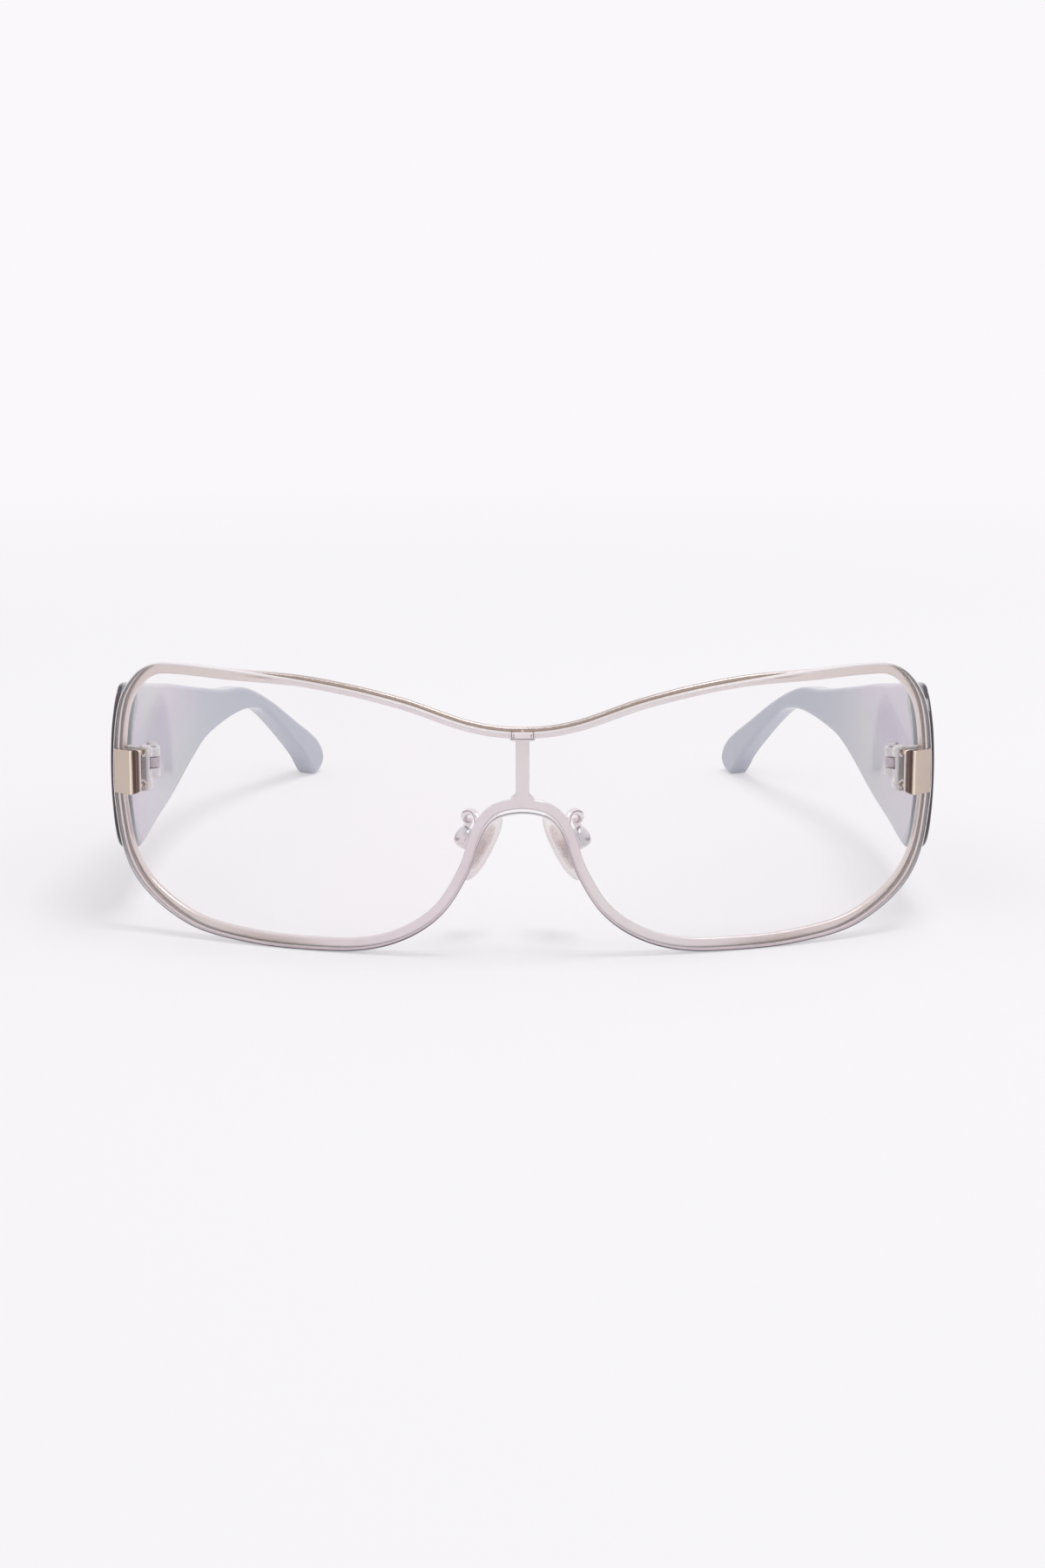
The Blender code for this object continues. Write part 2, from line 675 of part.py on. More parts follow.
def make_temple(collection):
    """The acetate temple with a pocket for the hinge's tongue and a bore for the core wire."""
    outline = smooth_loop(np.array(TEMPLE_OUTLINE_SHARES) * (TEMPLE_LENGTH, TEMPLE_TOP))
    item = slab("right_temple", collection, outline, (), TEMPLE_THICKNESS, TEMPLE_EDGE, 1)
    item.data.transform(Matrix.Translation((0, 0, TEMPLE_THICKNESS / 2)))
    first = tongue_start() - CLEARANCE
    length = TONGUE_LENGTH + CLEARANCE * 2
    depth = TONGUE_DEPTH + CLEARANCE
    size = (length, KNUCKLE_HEIGHT + CLEARANCE * 2, depth + OVERRUN)
    pocket = block("pocket", collection, size, (first + length / 2, BLOCK_LEVEL, depth - size[2] / 2))
    bore_start = first + length - OVERRUN
    route = core_route(bore_start, TEMPLE_LENGTH - CORE_TAIL + CLEARANCE)
    bore = wire("bore", collection, route, CORE_RADIUS + CLEARANCE)
    combine(pocket, bore, "UNION")
    combine(item, pocket, "DIFFERENCE")
    slice_along_x(item, 0, TEMPLE_LENGTH, TEMPLE_STEP)
    bend_temple(item)
    paint(item, "acetate")
    return item


def make_core(collection):
    """The wire that stiffens the temple, inside its bore."""
    first = tongue_start() + TONGUE_LENGTH + CLEARANCE
    route = core_route(first, TEMPLE_LENGTH - CORE_TAIL)
    item = wire("right_temple_core", collection, route, CORE_RADIUS)
    bend_temple(item)
    paint(item, "steel")
    return item


def make_temple_hinge(collection):
    """The temple's knuckle, with a tongue that sits in the temple's pocket."""
    axis = hinge_point()
    item = knuckle("right_temple_hinge", collection, BLOCK_LEVEL, (axis.x + TEMPLE_GAP / 2, axis.y), ARM_WIDTH)
    start = tongue_start()
    reach = TEMPLE_GAP / 2 + TONGUE_DEPTH
    size = (TONGUE_LENGTH, KNUCKLE_HEIGHT, reach)
    tongue = block("tongue", collection, size, (start + TONGUE_LENGTH / 2, BLOCK_LEVEL, TONGUE_DEPTH - reach / 2))
    bend_temple(tongue)
    combine(item, tongue, "UNION")
    paint(item, "steel")
    return item


def pad_matrix():
    """Axes at the right pad's pin: X along the pin, Y up along the pad, Z away from the nose."""
    away = -PAD_FACING
    along = (PAD_UPWARD - away * PAD_UPWARD.dot(away)).normalized()
    across = along.cross(away)
    axes = Matrix((across, along, away)).transposed().to_4x4()
    centre = Vector((PAD_OUT, PAD_BACK, PAD_LEVEL)) + away * PAD_STANDOFF
    return Matrix.Translation(centre) @ axes


def pad_insert(name, collection, spare):
    """The metal insert of a pad, its plate in the pad and its tang on the pin, grown by the spare."""
    outline = smooth_loop(np.array(PAD_OUTLINE_SHARES) * (INSERT_WIDTH / 2, INSERT_LENGTH / 2))
    outline = inset(counter_clockwise(outline), -spare)
    item = slab(name, collection, outline, (), INSERT_THICKNESS + spare * 2)
    item.data.transform(Matrix.Translation((0, 0, -PAD_STANDOFF)))
    return item


def tang(name, collection, spare, hole):
    """The upright tang from the insert to the pin, round at its top."""
    turns = np.linspace(0, math.pi, ROUND_SIDES // 2)
    radius = TANG_RADIUS + spare
    crown = np.column_stack((radius * np.cos(turns), radius * np.sin(turns)))
    outline = np.vstack((crown, ((-radius, -PAD_STANDOFF), (radius, -PAD_STANDOFF))))
    holes = (circle(PAD_PIN_RADIUS + CLEARANCE),) if hole else ()
    item = slab(name, collection, outline, holes, TANG_THICKNESS + spare * 2)
    turn = Matrix(((0, 0, 1, 0), (1, 0, 0, 0), (0, 1, 0, 0), (0, 0, 0, 1)))
    item.data.transform(turn)
    return item


def make_pad(collection):
    """The soft pad, hollow where its insert lies."""
    outline = smooth_loop(np.array(PAD_OUTLINE_SHARES) * (PAD_WIDTH / 2, PAD_LENGTH / 2), 2)
    item = slab("right_nose_pad", collection, outline, (), PAD_THICKNESS, PAD_EDGE, 1)
    item.data.transform(Matrix.Translation((0, 0, -PAD_STANDOFF)))
    cavity = pad_insert("cavity", collection, CLEARANCE)
    neck = tang("neck", collection, CLEARANCE, False)
    combine(cavity, neck, "UNION")
    combine(item, cavity, "DIFFERENCE")
    item.data.transform(pad_matrix())
    paint(item, "silicone")
    return item


def make_insert(collection):
    """The metal insert that carries the pad."""
    item = pad_insert("right_pad_insert", collection, 0)
    combine(item, tang("tang", collection, 0, True), "UNION")
    item.data.transform(pad_matrix())
    paint(item, "steel")
    return item


def box_span():
    """Open end and closed end of the pad box, along the pad's outward axis from the pin."""
    floor = TANG_RADIUS + CLEARANCE
    return -BOX_OPENING, floor + BOX_FLOOR


def make_pad_box(collection):
    """The round box that holds the tang, slotted along the pad and bored for the pin."""
    low, high = box_span()
    item = rod("right_pad_box", collection, BOX_RADIUS, (0, 0, low), (0, 0, high), ROUND_SIDES, BOX_EDGE)
    height = high - BOX_FLOOR - low + OVERRUN
    size = (TANG_THICKNESS + CLEARANCE * 2, BOX_RADIUS * 3, height)
    slot = block("slot", collection, size, (0, 0, high - BOX_FLOOR - height / 2))
    combine(item, slot, "DIFFERENCE")
    bore = rod("bore", collection, PAD_PIN_RADIUS + CLEARANCE, (-BOX_RADIUS * 2, 0, 0), (BOX_RADIUS * 2, 0, 0))
    combine(item, bore, "DIFFERENCE")
    item.data.transform(pad_matrix())
    paint(item, "metal")
    return item


def make_pad_screw(collection):
    """The small screw through the box and the tang."""
    reach = BOX_RADIUS
    item = rod("right_pad_screw", collection, PAD_PIN_RADIUS, (-reach, 0, 0), (reach, 0, 0))
    item.data.transform(pad_matrix())
    paint(item, "steel")
    return item


def make_nose_arm(collection):
    """The looped wire from the rim's back to the upper side of the pad box."""
    box = pad_matrix()
    seat = BOX_RADIUS + CLEARANCE
    level = box_span()[1] - ARM_RADIUS
    end = box @ Vector((0, seat, level))
    approach = box @ Vector((0, seat + ARM_RADIUS * 1.5, level))
    turn = math.asin(ARM_FOOT_OUT / WRAP_RADIUS)
    depth = LENS_THICKNESS + RIM_THICKNESS + CLEARANCE * 2 + ARM_RADIUS
    foot = Vector(wrapped(turn * WRAP_RADIUS, ARM_FOOT_LEVEL, depth))
    route = []
    for along, side, rise in ARM_ROUTE_SHARES:
        place = foot.lerp(approach, along)
        route.append(place + Vector((ARM_LOOP_SIDE * side, 0, ARM_LOOP_RISE * rise)))
    route.append(end)
    item = wire("right_nose_arm", collection, smooth_loop(route, 2, closed=False), ARM_RADIUS)
    paint(item, "metal")
    return item


def mirrored(item, collection):
    """The left twin of a right piece, under its left name."""
    mesh = item.data.copy()
    mesh.transform(Matrix.Diagonal((-1, 1, 1, 1)))
    mesh.flip_normals()
    twin = object_from(mesh, item.name.replace("right_", "left_"), collection)
    finish = item.data.materials[0].name.rsplit("_", 1)[1]
    paint(twin, finish)
    return twin


def shade(item):
    """Shade round walls smooth and keep the corners sharp."""
    item.data.shade_smooth()
    item.data.set_sharp_from_angle(angle=math.radians(35))


def points_of(items):
    """Y and Z of all the points of some pieces."""
    found = []
    for item in items:
        points = np.empty(len(item.data.vertices) * 3)
        item.data.vertices.foreach_get("co", points)
        found.append(points.reshape(-1, 3)[:, 1:])
    return np.vstack(found)


def resting_lean(front, temples):
    """How far the glasses lean back when the front and the temple tips both touch the table."""
    low, high = math.radians(-20), math.radians(20)
    for _ in range(50):
        lean = (low + high) / 2
        down = np.array((-math.sin(lean), math.cos(lean)))
        if (front @ down).min() > (temples @ down).min():
            high = lean
        else:
            low = lean
    return lean, (front @ down).min()


def hang(item, empty):
    """Carry a piece on an empty that stands on its joint's axis."""
    item.data.transform(Matrix.Translation(-empty.location))
    item.parent = empty


def make_empty(name, collection, place, parent=None):
    """An empty at a place, carried by another."""
    empty = bpy.data.objects.new(name, None)
    empty.empty_display_size = BLOCK_HEIGHT
    empty.location = place
    empty.parent = parent
    collection.objects.link(empty)
    return empty


def main():
    clear_scene()
    collection = make_collection("shield_sunglasses")
    front = [make_lens(collection), make_rim(collection)]
    nuts = [make_clamp_nut(collection, "right_upper_nut", 1), make_clamp_nut(collection, "right_lower_nut", -1)]
    fixed = [make_end_block(collection), make_front_hinge(collection), make_hinge_screw(collection),
             make_nose_arm(collection), make_pad_box(collection), make_pad_screw(collection)] + nuts
    folding = [make_temple(collection), make_temple_hinge(collection), make_core(collection)]
    rocking = [make_pad(collection), make_insert(collection)]
    lean, floor = resting_lean(points_of(front), points_of(folding[:1]))
    depths = points_of(front + fixed + folding + rocking) @ np.array((math.cos(lean), math.sin(lean)))

    stance = make_empty("stance", collection, (0, -(depths.min() + depths.max()) / 2, -floor))
    stance.rotation_euler = (-lean, 0, 0)
    hinge = hinge_point()
    pin = pad_matrix().translation
    for side, sign in (("left", -1), ("right", 1)):
        fold = make_empty(side + "_fold_axis", collection, (hinge.x * sign, hinge.y, hinge.z), stance)
        rock = make_empty(side + "_rock_axis", collection, (pin.x * sign, pin.y, pin.z), stance)
        own = [[mirrored(i, collection) if sign < 0 else i for i in group] for group in (fixed, folding, rocking)]
        for item in own[0]:
            item.parent = stance
        for item in own[1]:
            hang(item, fold)
        for item in own[2]:
            hang(item, rock)
    for item in front:
        item.parent = stance
    for item in collection.objects:
        if item.type == "MESH":
            shade(item)


main()
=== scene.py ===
"""Looks of a pair of shield sunglasses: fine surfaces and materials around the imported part.

The glasses are drawn in their own frame (X right, Y towards the ears, Z up, front upright) and then
leaned back by the angle of the folding axis, as they stand on the table. All sizes are in metres.
"""

import json
import math

import bmesh
import bpy
import numpy as np
from bpy.props import FloatProperty, FloatVectorProperty, PointerProperty
from bpy.types import Operator, Panel, PropertyGroup
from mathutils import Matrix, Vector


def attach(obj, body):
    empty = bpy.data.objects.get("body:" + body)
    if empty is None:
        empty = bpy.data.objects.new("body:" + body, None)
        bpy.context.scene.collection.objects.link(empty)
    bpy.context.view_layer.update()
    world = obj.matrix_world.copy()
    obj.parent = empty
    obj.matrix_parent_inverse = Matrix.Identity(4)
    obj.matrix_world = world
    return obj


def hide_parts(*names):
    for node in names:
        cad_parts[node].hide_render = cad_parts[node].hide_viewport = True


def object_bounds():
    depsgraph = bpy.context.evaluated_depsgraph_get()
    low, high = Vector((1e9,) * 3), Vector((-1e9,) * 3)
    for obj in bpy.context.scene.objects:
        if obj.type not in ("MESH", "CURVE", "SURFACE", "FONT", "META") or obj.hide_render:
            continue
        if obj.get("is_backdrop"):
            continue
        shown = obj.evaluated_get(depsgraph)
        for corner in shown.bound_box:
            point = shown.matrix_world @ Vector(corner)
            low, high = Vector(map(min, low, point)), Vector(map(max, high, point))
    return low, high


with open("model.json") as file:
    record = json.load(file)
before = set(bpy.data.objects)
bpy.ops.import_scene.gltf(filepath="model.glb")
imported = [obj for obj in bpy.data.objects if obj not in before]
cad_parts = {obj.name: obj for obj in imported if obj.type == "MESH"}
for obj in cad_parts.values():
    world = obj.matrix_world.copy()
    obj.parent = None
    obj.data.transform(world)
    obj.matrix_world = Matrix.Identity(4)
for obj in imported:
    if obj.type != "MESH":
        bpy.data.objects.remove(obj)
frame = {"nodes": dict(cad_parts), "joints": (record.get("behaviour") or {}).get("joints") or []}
CAD_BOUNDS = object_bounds()

bl_info = {
    "name": "Shield Sunglasses",
    "version": (1, 0, 0),
    "blender": (4, 5, 0),
    "location": "View3D > Sidebar > Eyewear",
    "description": "Clear shield lens, flat metal rim, laminated temples and soft pads",
    "category": "Object",
}

# Half of the lens outline, from the brow's centre round the side to the nose, as shares
LENS_SHARES = (
    (0.000, 0.797), (0.117, 0.818), (0.274, 0.895), (0.434, 0.947), (0.632, 0.983), (0.821, 1.000),
    (0.899, 0.986), (0.953, 0.918), (0.986, 0.814), (1.000, 0.635), (0.997, 0.471), (0.971, 0.287),
    (0.908, 0.156), (0.790, 0.051), (0.645, 0.010), (0.500, 0.000), (0.362, 0.010), (0.258, 0.061),
    (0.178, 0.154), (0.122, 0.295), (0.092, 0.428), (0.059, 0.490), (0.000, 0.510),
)

# Temple outline, from the front's top corner back to the tip and forward again, as shares
TEMPLE_SHARES = (
    (0.098, 1.000), (0.230, 0.943), (0.376, 0.877), (0.507, 0.806), (0.630, 0.742), (0.703, 0.722),
    (0.760, 0.671), (0.826, 0.583), (0.891, 0.481), (0.953, 0.386), (0.986, 0.318), (1.000, 0.246),
    (0.991, 0.194), (0.967, 0.165), (0.948, 0.205), (0.927, 0.270), (0.889, 0.358), (0.823, 0.495),
    (0.770, 0.583), (0.722, 0.607), (0.678, 0.604), (0.621, 0.582), (0.548, 0.541), (0.470, 0.461),
    (0.397, 0.395), (0.319, 0.354), (0.204, 0.326), (0.098, 0.296), (0.056, 0.313), (0.025, 0.403),
    (0.005, 0.545), (0.000, 0.687), (0.010, 0.818), (0.033, 0.915), (0.061, 0.976),
)

# Pad outline as shares of its half width and half length
PAD_SHARES = (
    (0.00, 1.00), (0.52, 0.86), (0.90, 0.40), (1.00, -0.10), (0.82, -0.66), (0.42, -0.95),
    (0.00, -1.00), (-0.42, -0.92), (-0.74, -0.60), (-0.84, -0.10), (-0.74, 0.45), (-0.44, 0.86),
)

# Route of a nose arm: share of the way from foot to box, of the side step and of the rise
ARM_SHARES = (
    (0.00, 0.00, 0.00), (0.10, 0.00, 0.56), (0.24, 0.18, 0.95), (0.40, 0.65, 1.00),
    (0.55, 1.00, 0.68), (0.70, 0.86, 0.25), (0.86, 0.28, 0.02), (1.00, 0.00, 0.00),
)

# Rows of a ruled face, close to its edges so that the rounding's slope stays there, and of the rim's band
FACE_ROWS = (0, 0.004, 0.012, 0.25, 0.5, 0.75, 0.988, 0.996, 1)
BAND_ROWS = (0, 0.06, 0.4, 0.5, 0.94, 1)

# Numbers of points: between two points of an outline, along long faces, and round the rim and its tab
FINE, LENS_COLUMNS, TEMPLE_COLUMNS, TEMPLE_STEPS = 160, 360, 300, 800
RIM_OUTER, RIM_INNER, RIM_STEP, BAR_POINTS, TAB_POINTS = 600, 1600, 3, 60, 40

# Clearance between pieces, a nudge that keeps places apart, and how near points are joined
GAP = 0.0003
NUDGE, MERGE = GAP / 1e6, GAP / 100

# Angles between faces: up to which they become one, from which they are shaded sharp, and eased
FLAT_ANGLE, SHARP_ANGLE, EASED_ANGLE = math.radians(2), math.radians(35), math.radians(40)

# Edges of the lens and the rim, and how far the rim reaches past the lens
LENS_EDGE, RIM_EDGE, RIM_MARGIN = 0.00025, 0.0002, 0.0002
RIM_SIDE_REACH, RIM_SIDE_POWER = 0.0007, 6
BROW_RISE, BROW_END, BROW_FADE = 0.0006, 0.055, 0.018
ARCH_RISE, ARCH_END, ARCH_FADE = 0.0004, 0.009, 0.005
BROW_FOOT_SHARE = 0.7

# The bar, where its slopes are taken, how evenly its window is spaced, and the tab in the lens's notch
BAR_TOP_FILLET, BAR_FOOT_FILLET, SLOPE_STEP = 0.0008, 0.0015, 8
EVEN_SHARE = 0.03
TAB_WIDTH, TAB_HEIGHT, TAB_RECESS, TAB_FILL = 0.0032, 0.0008, 0.0002, 0.8
NOTCH_SLANT = 0.00002

# Painted brown shade on the rim, standing for darker reflections: the outer rows at the brow, its walls, and
# a bump at each lower corner
SHADE_ROW, SHADE_ROW_FADE, WALL_SHADE, WINDOW_SHADE = 0.4, 0.1, 0.2, 0.3
CORNER_AT, CORNER_WIDTH, CORNER_TOP, CORNER_FADE = 0.045, 0.012, 0.6, 0.3
CORNER_SHADE, CORNER_SHADE_SLOPE = 0.26, 0.22

# Where the hinge stands behind the front, and sizes of block, foot, posts, nuts and the hinge's easing
BLOCK_FROM_END, BLOCK_LEVEL = 0.00325, 0.0292
PLATE_THICKNESS, HINGE_BACK, HINGE_INSET, BARREL_RADIUS = 0.0010, 0.0060, 0.0013, 0.00145
BLOCK_CORNER, BLOCK_EDGE = 0.0004, 0.00012
FOOT_REACH, FOOT_THICKNESS, FOOT_CORNER, FOOT_EDGE = 0.0009, 0.00024, 0.0009, 0.00006
POST_RADIUS, POST_SPREAD, POST_INWARD, POST_TAIL = 0.00055, 0.0029, 0.0010, 0.0012
NUT_RADIUS, NUT_THICKNESS, NUT_EDGE = 0.0011, 0.0008, 0.0002
HINGE_EASE = 0.00012

# Temple path: where it starts from the hinge, and how its toe angle grows
TEMPLE_GAP, TEMPLE_SETBACK = 0.0033, 0.0016
TOE_START, TOE_END = math.radians(2.5), math.radians(22.5)
TOE_BEGIN, TOE_FINISH = 0.028, 0.095

# Nose pads and arms
PAD_OUT, PAD_BACK, PAD_LEVEL = 0.0070, 0.0140, 0.0164
PAD_STANDOFF, PAD_ROUNDNESS, PAD_FLATNESS = 0.0034, 0.42, 0.3
PAD_FACING = np.array((-0.75, 0.40, -0.53))
PAD_UPWARD = np.array((-0.47, 0.25, 0.85))
BOX_RADIUS, BOX_LOW, BOX_HIGH = 0.0019, -0.0012, 0.0020
BOX_HOLLOW, BOX_FLOOR = 0.00165, 0.0017
BOX_DOME, BOX_EDGE = 0.0011, 0.0002
ARM_RADIUS, ARM_SINK, ARM_STANDOFF = 0.0006, 0.0002, 0.0009
ARM_FOOT_OUT, ARM_FOOT_LEVEL = 0.0079, 0.0226
ARM_LOOP_SIDE, ARM_LOOP_RISE, ARM_PASSES = 0.0015, 0.0019, 6
ARM_ASIDE = np.array((0.62, 0.78, 0.05))

# Camera, as the photograph was taken
CAMERA_PLACE = (0.0, -0.55835, 0.1476)
CAMERA_PITCH = math.radians(13.5)
CAMERA_LENS, SENSOR, CLIP_START = 67.84, 36.0, 0.01

# Table, its glow for the camera, and the softbox
TABLE_RINGS, TABLE_SIDES, TABLE_SHADE = (0.0, 0.4, 1.5, 6.0), 96, 0.99
GLOW, GLOW_REACH = 0.45, (0.12, 0.6)
KEY_PLACE, KEY_TILT = (0.16, -0.03, 0.9), 0.176


# Shapes

def cubic(before, start, end, after, steps):
    """Catmull-Rom stretch: a cubic whose slopes at start and end are half of what their neighbours span."""
    t = (np.arange(steps) / steps)[None, :, None]
    return (start * 2 + (end - before) * t + (before * 2 - start * 5 + end * 4 - after) * t ** 2
            + (start * 3 - before - end * 3 + after) * t ** 3) / 2


def smooth_loop(points, steps=FINE):
    """Closed curve through the points, one cubic stretch from each to the next."""
    points = np.asarray(points, float)
    around = [np.roll(points, k, axis=0)[:, None, :] for k in (1, 0, -1, -2)]
    return cubic(*around, steps).reshape(-1, points.shape[1])


def smooth_line(points, steps):
    """Open curve through the points, its ends continued straight on."""
    longer = np.vstack((points[0] * 2 - points[1], points, points[-1] * 2 - points[-2]))
    around = [longer[k:len(longer) - 3 + k][:, None, :] for k in range(4)]
    return np.vstack((cubic(*around, steps).reshape(-1, points.shape[1]), points[-1]))


def ease(share):
    """Smooth step: three times the square less twice the cube, held between 0 and 1."""
    share = np.clip(share, 0, 1)
    return share ** 2 * (3 - share * 2)


def lengths(path):
    """Distance along a path at each of its points."""
    return np.concatenate(((0,), np.cumsum(np.linalg.norm(np.diff(path, axis=0), axis=1))))


def resample(path, count):
    """The same path with equal spacing."""
    way = lengths(path)
    even = np.linspace(0, way[-1], count)
    return np.column_stack([np.interp(even, way, path[:, k]) for k in range(path.shape[1])])


def counter_clockwise(points):
    """The closed outline, turned so that it runs counter-clockwise."""
    x, y = points[:, 0], points[:, 1]
    return points if np.sum(x * np.roll(y, -1) - y * np.roll(x, -1)) > 0 else points[::-1]


def inward(points, closed=True):
    """Unit normals to the left of a path: its direction at each point, turned by a quarter."""
    if closed:
        ahead = np.roll(points, -1, axis=0) - np.roll(points, 1, axis=0)
    else:
        ahead = np.gradient(points, axis=0)
    normal = np.column_stack((-ahead[:, 1], ahead[:, 0]))
    return normal / np.linalg.norm(normal, axis=1)[:, None]


def edge_profile(thickness, near, far, steps=6):
    """Section of a slab's edge as (inset, depth): a quarter round, the wall, and another quarter round."""
    turn = np.linspace(0, math.pi / 2, steps)
    first = np.column_stack((near * (1 - np.sin(turn)), near * (1 - np.cos(turn))))
    second = np.column_stack((far * (1 - np.cos(turn)), thickness - far * (1 - np.sin(turn))))
    return np.vstack((first, second))


def sides(outline, columns, extra=()):
    """Lower and upper edge of an outline at common places along X, closer together near its ends."""
    outline = np.roll(outline, -int(np.argmin(outline[:, 0])), axis=0)
    end = int(np.argmax(outline[:, 0]))
    lower = outline[:end + 1]
    upper = np.vstack((outline[end:], outline[:1]))[::-1]
    first, last = lower[0, 0], lower[-1, 0]
    places = first + (last - first) * (1 - np.cos(np.linspace(0, math.pi, columns))) / 2
    places = np.sort(np.concatenate((places, extra)))
    low, high = (np.interp(places, np.maximum.accumulate(edge[:, 0]) + np.linspace(0, NUDGE, len(edge)),
                           edge[:, 1]) for edge in (lower, upper))
    high[0], high[-1] = low[0], low[-1]
    return np.column_stack((places, low)), np.column_stack((places, high))


def put(name, mesh, materials):
    """An object of a mesh, shaded smooth between its sharp edges."""
    mesh.shade_smooth()
    mesh.set_sharp_from_angle(angle=SHARP_ANGLE)
    for material in materials:
        mesh.materials.append(material)
    item = bpy.data.objects.new(name, mesh)
    bpy.context.scene.collection.objects.link(item)
    return item


class Shape:
    """Points and four-cornered faces of one piece, gathered from grids of points."""

    def __init__(self):
        self.points, self.faces, self.marks, self.kinds, self.count = [], [], [], [], 0

    def add(self, grid, round_u=False, round_v=False, mark=0.0, kind=0):
        """A surface of points in rows and columns; its rows or its columns may close on themselves."""
        rows, columns = grid.shape[:2]
        index = np.arange(rows * columns).reshape(rows, columns) + self.count
        if round_u:
            index = np.vstack((index, index[:1]))
        if round_v:
            index = np.hstack((index, index[:, :1]))
        quads = np.stack((index[:-1, :-1], index[1:, :-1], index[1:, 1:], index[:-1, 1:]), axis=-1)
        self.points.append(grid.reshape(-1, 3))
        self.faces.append(quads.reshape(-1, 4))
        self.marks.append(np.broadcast_to(mark, (rows, columns)).ravel())
        self.kinds.append(np.full(len(self.faces[-1]), kind))
        self.count += rows * columns

    def lay(self, place, flat, depth, **how):
        """A surface whose points, given on the flat, are placed at their depth."""
        self.add(place(flat[..., 0], flat[..., 1], np.broadcast_to(depth, flat.shape[:2])), **how)

    def piece(self, name, materials, side=1):
        """The gathered surfaces as one closed mesh object, standing on the table; side -1 mirrors it."""
        points = stand(np.vstack(self.points) * (side, 1, 1))
        mesh = bpy.data.meshes.new(name)
        mesh.from_pydata(points.tolist(), [], np.vstack(self.faces).tolist())
        mesh.attributes.new("mark", "FLOAT", "POINT").data.foreach_set("value", np.concatenate(self.marks))
        mesh.polygons.foreach_set("material_index", np.concatenate(self.kinds))
        work = bmesh.new()
        work.from_mesh(mesh)
        bmesh.ops.remove_doubles(work, verts=work.verts, dist=MERGE)
        bmesh.ops.dissolve_degenerate(work, edges=work.edges, dist=MERGE / 10)
        bmesh.ops.recalc_face_normals(work, faces=work.faces)
        work.to_mesh(mesh)
        work.free()
        return put(name, mesh, materials)


def slab(shape, low, high, profile, place, kinds=(0, 0)):
    """A flat piece between two edges: faces ruled from edge to edge, and the profile carried round them."""
    ring = np.vstack((low, high[1:-1][::-1]))
    normal = inward(ring)
    count = len(low)
    edge = ring[None] + normal[None] * profile[:, :1, None]
    step = lengths(profile)
    share = np.broadcast_to((step / step[-1])[:, None], edge.shape[:2])
    shape.lay(place, edge, profile[:, 1:2], round_v=True, mark=share, kind=kinds[1])
    for row in (0, -1):
        bottom = edge[row, :count]
        top = np.vstack((edge[row, :1], edge[row, count:][::-1], edge[row, count - 1:count]))
        rise = np.array(FACE_ROWS)[:, None, None]
        face = bottom[None] * (1 - rise) + top[None] * rise
        shape.lay(place, face, profile[row, 1], mark=share[row, 0], kind=kinds[0])


def prism(shape, outline, profile, place, mark=0.0, kind=0):
    """A closed outline carried along an edge profile, each end drawn in to the outline's middle."""
    ring = outline[None] + inward(outline)[None] * profile[:, :1, None]
    middle = np.broadcast_to(outline.mean(axis=0), ring[:1].shape)
    ring = np.concatenate((middle, ring, middle))
    depth = np.concatenate((profile[:1, 1], profile[:, 1], profile[-1:, 1]))[:, None]
    shape.lay(place, ring, depth, round_v=True, mark=mark, kind=kind)


def turned(shape, centre, axes, profile, closed=False, steps=48, mark=0.0):
    """A surface of revolution: (radius, height) pairs turned about the third axis through the centre."""
    angle = np.arange(steps) * math.tau / steps
    circle = np.outer(np.cos(angle), axes[0]) + np.outer(np.sin(angle), axes[1])
    profile = np.asarray(profile)
    grid = centre + profile[:, :1, None] * circle + profile[:, 1:, None] * np.asarray(axes[2])
    shape.add(grid, round_u=closed, round_v=True, mark=mark)


def rounded_rectangle(width, height, radius, steps=8):
    """A rectangle about the origin whose corners are quarter circles."""
    turn = np.linspace(0, math.pi / 2, steps)
    corners = []
    for quarter, (across, up) in enumerate(((1, 1), (-1, 1), (-1, -1), (1, -1))):
        angle = turn + quarter * math.pi / 2
        corners.append(np.column_stack(((width / 2 - radius) * across + radius * np.cos(angle),
                                        (height / 2 - radius) * up + radius * np.sin(angle))))
    return np.vstack(corners)


def wrapped(front):
    """Bends the flat front round its cylinder: arc along the bend, level, depth behind the lens's face."""
    def place(arc, level, depth):
        radius = front.wrap - depth
        turn = arc / front.wrap
        across, along = radius * np.sin(turn), front.wrap - radius * np.cos(turn)
        return np.stack((across, along, level + depth * 0), axis=-1)
    return place


def front_point(front, arc, level, depth):
    """One point of the wrapped front."""
    return wrapped(front)(*np.array((arc, level, depth)))


def back_of_rim(front):
    """Depth of the rim's back behind the lens's face, with the clearances before and behind the rim."""
    return front.thickness + front.rim_thickness + GAP * 2


def hinge_point(front):
    """The folding axis at the level of the end block, in the glasses' own frame."""
    arc, depth = front.half_width - BLOCK_FROM_END, back_of_rim(front) + PLATE_THICKNESS
    return front_point(front, arc, BLOCK_LEVEL, depth) + (-HINGE_INSET, HINGE_BACK, 0)


def block_axes(front):
    """Centre of the end block on the lens's face, and its directions along the bend, up and outward."""
    arc = front.half_width - BLOCK_FROM_END
    turn = arc / front.wrap
    centre = front_point(front, arc, BLOCK_LEVEL, 0)
    along = np.array((math.cos(turn), math.sin(turn), 0))
    outward = np.array((math.sin(turn), -math.cos(turn), 0))
    return centre, along, np.array((0.0, 0.0, 1.0)), outward


